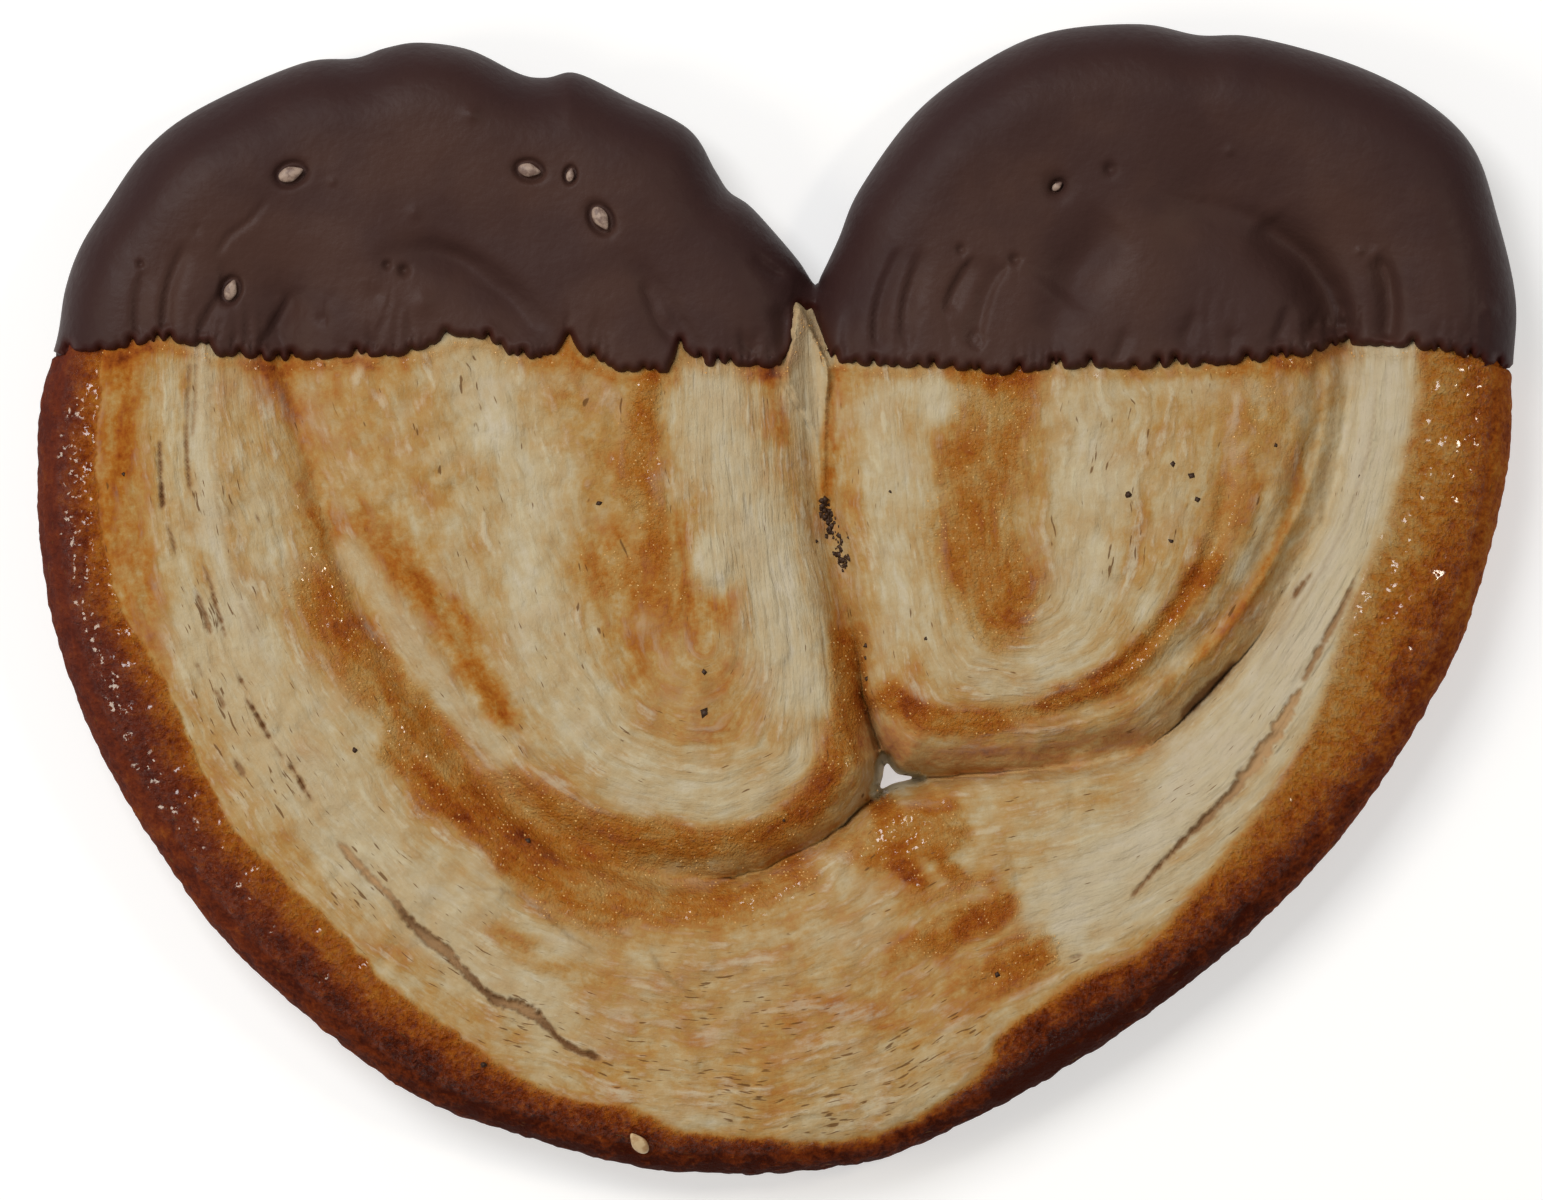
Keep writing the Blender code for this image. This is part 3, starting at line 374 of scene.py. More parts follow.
    Stroke(0.42, 2.4, 0.6, 0, 0, [(-16.8, -49.9), (-8.2, -52.1), (2.6, -52.1), (11.2, -49.9),
        (17.7, -47.7)]),
    Stroke(0.52, 0.8, 0.6, 0, 0, [(-4.4, -47.2), (-0.6, -46.7), (3.1, -46.4)]),
    Stroke(0.28, 2.1, 0.95, 0, 0.8, [(2.8, 30.5), (3.2, 26.5), (3.6, 22.5), (4.4, 19.4)]),
    Stroke(0.56, 0.5, 0.9, 0.4, 0, [(6.1, 24.4), (5.9, 21), (5.5, 16), (5.4, 10.5)]),
    Stroke(0.54, 3.2, 0.75, 0.6, 0, [(51.5, 19), (50, 14), (48.6, 8.5)]),
    Stroke(0.46, 3.4, 0.6, 0.5, 0, [(53, 24), (51.5, 20)]),
)

# Where the dough is frayed into short slits, drawn as dark dashes of painted shade, and where its
# layers show as steps, as round patches (x, y, radius, strength).
FRAYED: Points = [
    (-61.5, 10, 3.5, 0.9), (-61.5, -1, 3.5, 1), (-58, -12, 4.5, 1), (-52.5, -21, 4.5, 0.9),
    (-44, -31, 4.5, 0.8), (-35, -38.5, 4.5, 0.9), (-26, -46, 4.5, 1), (-15, -50.5, 4, 0.8),
    (-4, -53, 5, 1), (6, -54, 5, 1), (14, -50, 5, 1), (2, -46.5, 6, 0.7), (-8, -43, 5, 0.6),
    (20, -46, 4, 0.7), (37.5, 17, 4, 0.6), (38, 5, 4, 0.6), (-26, 10, 3, 0.6), (-22, -8, 3.5, 0.5),
    (44, -21, 4, 0.4), (-2, 12, 3, 0.4),
]
STEPPED: Points = [
    (60.5, 25, 4.5, 1), (60, 17, 4.5, 1), (57.5, 9, 4.5, 1), (54, 2, 4.5, 1), (49, -4.5, 4, 0.9),
    (43, -9.5, 3.5, 0.7), (-60.5, 20, 3, 0.7), (-60, 9, 3, 0.7), (58.5, -8.5, 3, 0.6), (62, 1, 3, 0.6),
    (-5, -50, 6, 0.5), (8, -50, 6, 0.5), (-46, 21, 4, 0.3), (-14, -42, 5, 0.4), (0, -40, 6, 0.4),
]

CRUST_SEED = Seed(-14.7, -58.6, 120, 0.25)
COAT_SEEDS = (
    Seed(-52.2, 45.8, 20, 0.1, 0.95), Seed(-26.5, 46.2, -10, 0.1, 0.85), Seed(-22.1, 45.7, 80, 0.05, 0.5),
    Seed(-18.8, 41, -60, 0.15, 0.95), Seed(-58.7, 33.3, 70, 0.05, 0.8), Seed(30.4, 44.5, 40, 0.05, 0.45),
)
# Soft grooves in the chocolate. The first runs under the ridge of the left ear.
COAT_GROOVES = (
    Fold([(-44, 36.6, 0.1), (-38.4, 37.4, 0.5), (-34.3, 36.5, 0.9), (-31.4, 34.2, 1.1),
        (-28.8, 32.2, 1.1), (-26.8, 29.7, 0.8), (-25.6, 27.5, 0.4)], 1.2, 3.2),
    Fold([(-14.5, 34.8, 0.5), (-13.4, 32.4, 0.5), (-12.3, 29.7, 0.6), (-10.2, 27.5, 0.6),
        (-7.7, 25.3, 0.4)], 0.5, 0.9),
    Fold([(-2.8, 37.8, 0.3), (-0.9, 35.9, 0.7), (1.7, 34.3, 0.8)], 0.5, 0.9),
    Fold([(0, 32.4, 0.5), (1.1, 29.7, 1), (1.3, 27, 1), (1.1, 25.1, 0.6)], 0.8, 1.2),
    Fold([(-4.4, 29.2, 0.3), (-3, 27.5, 0.6), (-2.1, 25.3, 0.6)], 0.5, 0.8),
    Fold([(-68.7, 26.5, 0.7), (-68.9, 30.2, 0.6), (-68.6, 33.5, 0.4), (-67.6, 36.5, 0.1)], 0.4, 1.2),
    Fold([(-66, 27.1, 0.9), (-65.7, 32.4, 0.8), (-64.4, 36.5, 0.5), (-63.1, 38.9, 0.2)], 0.4, 1),
    Fold([(-62.2, 26, 0.8), (-61.7, 29.7, 0.7), (-59.6, 33.5, 0.4), (-59.8, 37.2, 0.1)], 0.4, 1.1),
    Fold([(-56.3, 25.8, 0.6), (-53.6, 30.2, 0.9), (-52.5, 32.4, 0.8), (-53.1, 34, 0.2)], 0.5, 1.4),
    Fold([(-54.4, 43.6, 0.25), (-56.6, 40.8, 0.35), (-58.8, 39.1, 0.35), (-60.5, 36.5, 0.25)], 0.3, 0.3),
    Fold([(-62, 40.8, 0.4), (-62.6, 38.8, 0.4)], 0.35, 0.35),
    Fold([(52.5, 41.7, 0.4), (54.2, 39.5, 1.2), (56.6, 37.8, 1.7), (58.5, 35.4, 2), (59.5, 32.4, 2),
        (59.8, 27.7, 1.4)], 2.2, 3),
    Fold([(64.6, 37.5, 0.4), (66.1, 34.6, 0.9), (66.6, 31.9, 1), (66.3, 29.2, 0.9), (65.7, 26.5, 0.8)],
        0.7, 1.6),
    Fold([(37.3, 41.1, 0.3), (34.8, 38.3, 0.8), (32, 35.1, 0.9), (29.8, 32.2, 0.5)], 3.5, 4.5),
    Fold([(10.9, 26.4, 0.8), (10.8, 30.2, 0.8), (11.7, 34, 0.6), (13.6, 38.3, 0.3)], 0.4, 1.2),
    Fold([(13.9, 26.5, 0.5), (13.8, 30.8, 0.7), (14.7, 34.6, 0.6), (16.1, 38.3, 0.2)], 0.4, 1.2),
    Fold([(18.3, 30.1, 0.5), (18.8, 32.4, 0.8), (20.1, 35, 0.7), (22, 37.3, 0.3)], 0.4, 1.4),
    Fold([(21.5, 26.5, 0.5), (22.5, 31.1, 0.6), (23.5, 34, 0.6), (25.3, 36.5, 0.3)], 1.6, 0.4),
    Fold([(43.6, 26.5, 0.4), (44.9, 29.7, 0.5), (46.2, 31.3, 0.2)], 0.9, 0.9),
    Fold([(48.5, 26.5, 0.5), (50.1, 29.7, 0.4)], 0.8, 0.8),
    Fold([(53.4, 26.5, 0.6), (54.9, 30, 0.6), (55.5, 32.4, 0.2)], 0.7, 0.9),
    Fold([(56.8, 26.5, 0.5), (57.9, 29.4, 0.5), (58.3, 31.3, 0.2)], 0.5, 0.7),
    Fold([(-47, 25.5, 0.4), (-46.4, 28.5, 0.3)], 0.6, 0.6),
    Fold([(-43.2, 25, 0.4), (-42.6, 28, 0.3)], 0.5, 0.7),
    Fold([(36, 24, 0.4), (37.4, 27.5, 0.4), (38, 30, 0.1)], 0.6, 0.8),
    Fold([(29, 24, 0.4), (29.6, 26.5, 0.3)], 0.5, 0.5),
    Fold([(8, 24, 0.4), (7.6, 28, 0.4), (8.2, 32, 0.2)], 0.6, 0.9),
)
COAT_BUMPS = (
    Bump(-32.8, 52.3, 0.9, 0.35), Bump(-38.9, 41.7, 0.7, 0.25), Bump(-48.8, 30.2, 0.7, -0.3),
    Bump(61.3, 30.6, 0.6, 0.5), Bump(76.9, 31.3, 0.8, 0.3), Bump(64.8, 37.3, 0.7, 0.25),
    Bump(-37.9, 32, 1.2, 0.3), Bump(-41.8, 36, 0.45, -0.6), Bump(-40, 35.4, 0.6, -0.9),
    Bump(-68.4, 36.1, 0.35, -0.5), Bump(36.1, 46.3, 0.7, -0.7), Bump(20, 37.7, 0.5, -0.5),
    Bump(25.8, 36.6, 0.6, -0.6), Bump(-43.1, 32.9, 1, -0.25), Bump(-47.7, 45, 0.4, 0.2),
    Bump(49, 48.3, 0.5, 0.2), Bump(63, 37.5, 0.4, 0.2), Bump(-26, 58.5, 0.8, 0.2),
    Bump(30.4, 44.5, 1.3, -1.1),
)
# The middle and the half diagonal of a small square mark.
COAT_DIAMOND = (21.7, 27.9, 0.85)

# Round the crust from left to right: share of the way, tone inside and outside, softness, plum tint.
CRUST_TONES: Points = [
    (0, 0.75, 0.92, 0.2, 1), (0.12, 0.74, 0.92, 0.25, 1), (0.22, 0.72, 0.9, 0.35, 0.6),
    (0.33, 0.7, 0.93, 0.5, 0.1), (0.45, 0.84, 1.06, 0.6, 0), (0.53, 0.93, 1.13, 0.7, 0),
    (0.63, 0.88, 1.07, 0.7, 0), (0.7, 0.76, 1.04, 0.9, 0), (0.8, 0.58, 0.86, 1.5, 0),
    (0.9, 0.52, 0.75, 1.8, 0), (1, 0.54, 0.75, 1.4, 0),
]
# Screen colours of the dough from raw to burnt.
BROWN_TONES = (
    (0, (202, 191, 168)), (0.15, (194, 179, 147)), (0.3, (185, 161, 119)), (0.45, (175, 134, 75)),
    (0.6, (166, 104, 36)), (0.72, (150, 78, 21)), (0.85, (112, 45, 12)), (1, (62, 17, 4)),
)
# Burnt specks on the dough, as (x, y, size).
SPECKS: Points = [
    (4.4, 6.2, 0.3), (9.8, -5, 0.35), (9.9, -8.6, 0.4), (9.8, -6.4, 0.3), (16.2, -4.3, 0.3),
    (-7.7, -7.9, 0.5), (-7.6, -12.3, 0.6), (-45.4, -16.3, 0.45), (-26.7, -26.1, 0.6), (-19, 10.3, 0.4),
    (-31.5, -50.2, 0.5), (23.9, -40.5, 0.4), (42.9, 14.6, 0.5), (44.9, 13.3, 0.5), (38.1, 11.2, 0.6),
    (45.5, 10.7, 0.45), (42.7, 6.2, 0.4), (63.1, 13.2, 0.35), (54, 16.6, 0.3), (-70.3, 13.5, 0.35),
    (0.9, -23.9, 0.3), (12.4, 11.6, 0.25),
]
# The burnt smudge on the seam, as (x, y, half width).
SMUDGE: Points = [(5, 10.8, 0.2), (5.6, 9.2, 0.6), (6.4, 7, 0.85), (7, 5, 0.95), (7.5, 3.4, 0.4)]


def smoothstep(low: float, high: float, value: Array) -> Array:
    """Goes smoothly from 0 to 1 as value goes from low to high."""
    t = np.clip((value - low) / (high - low), 0.0, 1.0)
    return t * t * (3 - 2 * t)


def toward(start: Array, goal: Array | float, share: Array) -> Array:
    """Moves start toward goal by share, which goes from 0 to 1."""
    return start + (goal - start) * share


def bell(distance: Array) -> Array:
    """Falls from 1 where distance is 0 to almost nothing where it is 3, on both sides."""
    return np.exp(-np.minimum(np.abs(distance), 9.0) ** 2)


def patches(spots: Points, xy: Array) -> Array:
    """Tells how far each point lies within soft round patches.

    Args:
        spots: The patches, as (x, y, radius, strength).
        xy: Plan points.

    Returns:
        The strength at each point.
    """
    found = np.zeros(len(xy))
    for x, y, radius, strength in spots:
        near = np.hypot(xy[:, 0] - x, xy[:, 1] - y) / radius
        found = np.maximum(found, strength * bell(near))
    return found


def srgb(red: float, green: float, blue: float) -> tuple[float, float, float, float]:
    """Turns a screen colour, 0 to 255, into the linear colour that a shader takes.

    Args:
        red: Red, 0 to 255.
        green: Green, 0 to 255.
        blue: Blue, 0 to 255.

    Returns:
        Linear red, green, blue and an alpha of 1.
    """
    shares = (red / 255, green / 255, blue / 255)
    linear = [((c + 0.055) / 1.055) ** 2.4 if c > 0.04045 else c / 12.92 for c in shares]
    return (linear[0], linear[1], linear[2], 1.0)


@dataclass(frozen=True)
class Line:
    """A smooth line in plan. Columns after x and y are values that are carried along it."""

    points: Array
    closed: bool = False
    block: int = 3_000_000
    few: int = 400_000
    tile: float = 5.0
    tiles_in_row: int = 1000
    parts: int = 8

    @classmethod
    def through(cls, points: Points, step: float, closed: bool = False) -> "Line":
        """Draws a Catmull-Rom curve through the points and spaces it evenly.

        Args:
            points: The points, which may have more columns than x and y.
            step: The spacing wanted.
            closed: Whether the line returns to its first point.

        Returns:
            The smooth line.
        """
        given = np.array(points, float)
        if closed:
            padded = np.vstack([given[-1], given, given[0], given[1]])
        else:
            padded = np.vstack([2 * given[0] - given[1], given, 2 * given[-1] - given[-2]])
        t = np.linspace(0.0, 1.0, cls.parts, endpoint=False)[:, None]
        spans = []
        for a, b, c, d in zip(padded, padded[1:], padded[2:], padded[3:]):
            bend = (2 * a - 5 * b + 4 * c - d) * t**2 + (3 * b - a - 3 * c + d) * t**3
            spans.append(b + 0.5 * ((c - a) * t + bend))
        dense = np.vstack([*spans, padded[-2]])
        along = np.concatenate([[0.0], np.cumsum(np.hypot(*np.diff(dense[:, :2], axis=0).T))])
        stops = np.linspace(0.0, along[-1], max(2, round(along[-1] / step)) + 1)
        even = np.column_stack([np.interp(stops, along, column) for column in dense.T])
        return cls(even[:-1] if closed else even, closed)

    def spaced(self, spacing: Callable[[Array], Array]) -> "Line":
        """Spaces a closed line's points anew.

        Args:
            spacing: Gives the spacing wanted at plan points.

        Returns:
            The line with its new points.
        """
        loop = np.vstack([self.points, self.points[:1]])
        rate = np.hypot(*np.diff(loop[:, :2], axis=0).T) / spacing((loop[1:, :2] + loop[:-1, :2]) / 2)
        along = np.concatenate([[0.0], np.cumsum(rate)])
        stops = np.linspace(0.0, along[-1], round(along[-1]), endpoint=False)
        return Line(np.column_stack([np.interp(stops, along, column) for column in loop.T]), closed=True)

    def nearest(self, xy: Array, reach: float = math.inf) -> tuple[Array, Array, Array]:
        """Finds the nearest place on the line for each point.

        Args:
            xy: The points.
            reach: Points further than this from the line's box are skipped, at infinite distance.

        Returns:
            The distances, the places along the line as an index, and the sides, where 1 is left.
        """
        start = self.points[:, :2] if self.closed else self.points[:-1, :2]
        end = np.roll(self.points[:, :2], -1, axis=0) if self.closed else self.points[1:, :2]
        run = end - start
        squared = (run * run).sum(1)
        distance = np.full(len(xy), np.inf)
        place = np.zeros(len(xy))
        side = np.ones(len(xy))
        low = self.points[:, :2].min(0) - reach
        high = self.points[:, :2].max(0) + reach
        wanted = np.flatnonzero(((xy >= low) & (xy <= high)).all(1))
        longest = math.sqrt(squared.max())
        for block in self._blocks(xy, wanted):
            middle = (xy[block].min(0) + xy[block].max(0)) / 2
            spread = np.hypot(*(xy[block] - middle).T).max()
            off = np.hypot(*(start - middle).T)
            near = np.flatnonzero(off <= off.min() + 2 * spread + longest)
            away = xy[block, None] - start[near]
            t = np.clip((away * run[near]).sum(2) / squared[near], 0.0, 1.0)
            gap = away - t[..., None] * run[near]
            gaps = np.hypot(gap[..., 0], gap[..., 1])
            pick = gaps.argmin(1)
            rows = np.arange(len(block))
            distance[block] = gaps[rows, pick]
            place[block] = near[pick] + t[rows, pick]
            way = run[near[pick]]
            turn = way[:, 0] * away[rows, pick, 1] - way[:, 1] * away[rows, pick, 0]
            side[block] = np.where(turn < 0, -1.0, 1.0)
        return distance, place, side

    def _blocks(self, xy: Array, wanted: Array) -> list[Array]:
        """Groups points that lie close together, so that each group meets few of the line's parts."""
        if len(wanted) * len(self.points) < self.few:
            return [wanted] if len(wanted) else []
        cell = np.floor(xy[wanted] / self.tile).astype(int)
        key = cell[:, 0] * self.tiles_in_row + cell[:, 1]
        order = np.argsort(key, kind="stable")
        cuts = np.flatnonzero(np.diff(key[order])) + 1
        return np.split(wanted[order], cuts)

    def ends(self, place: Array, start: float, full: float) -> Array:
        """Goes from 0, at start points from an end of the line, to 1, at full points from it."""
        return smoothstep(start, full, np.minimum(place, len(self.points) - 1 - place))

    def carried(self, place: Array, column: int) -> Array:
        """Reads a carried column at places along the line."""
        return np.interp(place, np.arange(len(self.points)), self.points[:, column])

    def holds(self, xy: Array) -> Array:
        """Tells which points lie inside the closed line, by counting crossings."""
        x0, y0 = self.points[:, 0], self.points[:, 1]
        x1, y1 = np.roll(x0, -1), np.roll(y0, -1)
        slant = (x1 - x0) / np.where(y1 == y0, 1.0, y1 - y0)
        held = []
        for block in np.array_split(xy, max(1, len(xy) * len(x0) // self.block)):
            x, y = block[:, :1], block[:, 1:2]
            crosses = ((y0 > y) != (y1 > y)) & (x < x0 + (y - y0) * slant)
            held.append(crosses.sum(1) % 2 == 1)
        return np.concatenate(held)

    def inward(self, reach: float) -> Array:
        """Finds unit normals into an anticlockwise loop, evened out over a reach.

        Args:
            reach: Over what length the normals are evened out.

        Returns:
            One normal for each of the line's points.
        """
        loop = self.points[:, :2]
        ahead = np.roll(loop, -1, axis=0) - np.roll(loop, 1, axis=0)
        normals = np.column_stack([-ahead[:, 1], ahead[:, 0]])
        normals /= np.linalg.norm(normals, axis=1)[:, None]
        seam = np.linalg.norm(ahead, axis=1) / 2
        along = np.cumsum(seam)
        apart = np.abs(along[:, None] - along)
        apart = np.minimum(apart, along[-1] - apart)
        evened = (bell(apart / reach) * seam) @ normals
        return evened / np.linalg.norm(evened, axis=1)[:, None]


class Unevenness:
    """Smooth random values in space, the same on every run."""

    count = 256
    gain = 1.6
    plan_level = 7.3
    octave_shift = 3.1

    def __init__(self, seed: int) -> None:
        """Draws the random slopes.

        Args:
            seed: Which draw to use.
        """
        random = np.random.default_rng(seed)
        self._order = random.permutation(self.count)
        slopes = random.normal(size=(self.count, 3))
        self._slopes = slopes / np.linalg.norm(slopes, axis=1)[:, None]

    def at(self, points: Array) -> Array:
        """Reads the value at points, about -1 to 1, with a grain of one unit.

        Args:
            points: Points with three columns.

        Returns:
            One value for each point.
        """
        cell = np.floor(points).astype(int)
        inside = points - cell
        weight = inside**3 * (inside * (inside * 6 - 15) + 10)
        total = np.zeros(len(points))
        for corner in np.ndindex(2, 2, 2):
            shift = np.array(corner)
            hashed = np.zeros(len(points), int)
            for column in (2, 1, 0):
                hashed = self._order[(hashed + cell[:, column] + shift[column]) % self.count]
            share = np.prod(np.where(shift, weight, 1 - weight), axis=1)
            total += share * ((inside - shift) * self._slopes[hashed]).sum(1)
        return self.gain * total

    def spread(self, xy: Array, grain: float, octaves: int = 2) -> Array:
        """Reads even-grained noise over the plan, with its largest grain and the count of its layers."""
        at = np.column_stack([xy, np.full(len(xy), self.plan_level)]) / grain
        return sum(self.at(at * 2**i + i * self.octave_shift) / 2**i for i in range(octaves))

    def level(self, xy: Array, height: float) -> Array:
        """Reads the values over the plan at one height."""
        return self.at(np.column_stack([xy, np.full(len(xy), height)]))

    def streaks(self, layer: Array, xy: Array, across: float, along: float) -> Array:
        """Reads noise that runs along the layers, with its grain across them and along them."""
        return self.at(np.column_stack([layer / across, xy / along]))


@dataclass
class HeartPlan:
    """The palmier seen from above: its outline, folds, layers and the edge of the dip."""

    outline_step: float = 0.5
    fold_step: float = 1.2
    gap_step: float = 0.3
    crust_step: float = 1.5
    edge_step: float = 0.15
    edge_end: float = 86.0
    teeth_seed: int = 5
    teeth_pitch: Pair = (0.7, 2.3)
    teeth_rise: Pair = (0.15, 1.3)
    teeth_rarity: float = 1.4
    teeth_width: Pair = (0.12, 0.5)
    dip_reach: float = 6.0
    rim_reach: float = 12.0
    band_layers: float = 30.0
    left_layers: float = 26.0
    right_layers: float = 22.0
    least: float = 0.01

    def __post_init__(self) -> None:
        """Draws the lines that the other methods measure from."""
        heart = [*LEFT_EAR, *LEFT_FLANK, *BASE, *RIGHT_FLANK, *RIGHT_EAR]
        self.outline = Line.through(heart, self.outline_step, closed=True)
        self.coarse_outline = Line(self.outline.points[::8], closed=True)
        self.gap = Line.through(THROUGH_GAP, self.gap_step, closed=True)
        self.centre = (self.outline.points.min(0) + self.outline.points.max(0)) / 2
        seam = [point[:2] for point in COIL_SEAM.points]
        left = [point[:2] for point in LEFT_COIL_FOLD.points]
        right = [point[:2] for point in RIGHT_COIL_FOLD.points]
        self._coil_border = Line.through([*left[::-1], *right], self.fold_step)
        self._left_border = Line.through([*seam, *left, *LEFT_COIL_TOP[:2]], self.fold_step)
        self._right_border = Line.through([*seam, *right, *RIGHT_COIL_TOP[:1]], self.fold_step)
        self._left_coil = Line(np.array([*seam, *left, *LEFT_COIL_TOP], float), closed=True)
        self._right_coil = Line(np.array([*seam, *right, *RIGHT_COIL_TOP], float), closed=True)
        self._left_core = Line.through(LEFT_CORE, self.fold_step)
        self._right_core = Line.through(RIGHT_CORE, self.fold_step)
        self._dip = Line(self._ragged_edge())
        self._crust_line = Line.through(CRUST_LINE, self.crust_step)

    def _ragged_edge(self) -> Array:
        """Draws the chocolate's edge with the notches where fibres of dough poke through it."""
        random = np.random.default_rng(self.teeth_seed)
        x = np.arange(-self.edge_end, self.edge_end, self.edge_step)
        y = self.dip_edge(x)
        at = -self.edge_end
        while at < self.edge_end:
            at += random.uniform(*self.teeth_pitch)
            rise = random.uniform(*self.teeth_rise) ** self.teeth_rarity
            left, right = random.uniform(*self.teeth_width), random.uniform(*self.teeth_width)
            y = y + rise * np.exp(-np.abs(x - at) / np.where(x < at, left, right))
        return np.column_stack([x, y])

    def dip_edge(self, x: Array) -> Array:
        """Gives the height of the chocolate's edge in plan at x, without its notches."""
        edge = np.array(DIP_EDGE)
        return np.interp(x, edge[:, 0], edge[:, 1])

    def above_dip(self, xy: Array) -> Array:
        """Measures how far above the chocolate's edge each point lies in plan, without the notches."""
        return xy[:, 1] - self.dip_edge(xy[:, 0])

    def dipped(self, xy: Array) -> Array:
        """Measures how far inside the dip each point lies; outside it is negative.

        Args:
            xy: Plan points.

        Returns:
            Distances to the ragged edge with their sign.
        """
        rough = self.above_dip(xy)
        near = np.flatnonzero(np.abs(rough) < self.dip_reach)
        above = xy[near, 1] > np.interp(xy[near, 0], *self._dip.points.T)
        rough[near] = self._dip.nearest(xy[near])[0] * np.where(above, 1.0, -1.0)
        return rough

    def rim_distance(self, xy: Array) -> Array:
        """Measures how far each point lies from the outline."""
        distance = self.coarse_outline.nearest(xy)[0]
        near = np.flatnonzero(distance < self.rim_reach)
        distance[near] = self.outline.nearest(xy[near])[0]
        return distance

    def layer(self, xy: Array) -> Array:
        """Numbers the thin layers of dough, which run along the outline and round the coils.

        Args:
            xy: Plan points.

        Returns:
            A value that changes across the layers and stays the same along them.
        """
        from_coils = self._coil_border.nearest(xy)[0]
        from_rim = self.rim_distance(xy)
        layer = self.band_layers * from_rim / (from_rim + from_coils + self.least)
        sides = (
            (self._left_coil, self._left_border, self._left_core, self.left_layers),
            (self._right_coil, self._right_border, self._right_core, self.right_layers),
        )
        for coil, border, core, layers in sides:
            rows = np.flatnonzero(coil.holds(xy))
            from_core = core.nearest(xy[rows])[0]
            from_border = border.nearest(xy[rows])[0]
            share = from_border / (from_core + from_border + self.least)
            layer[rows] = self.band_layers + layers * share
        return layer

    def crust(self, xy: Array) -> tuple[Array, Array]:
        """Measures the dark crust.

        Args:
            xy: Plan points.

        Returns:
            How far outside the crust's inner border each point lies, and the share of the way round.
        """
        distance, place, side = self._crust_line.nearest(xy)
        return -distance * side, place / len(self._crust_line.points)


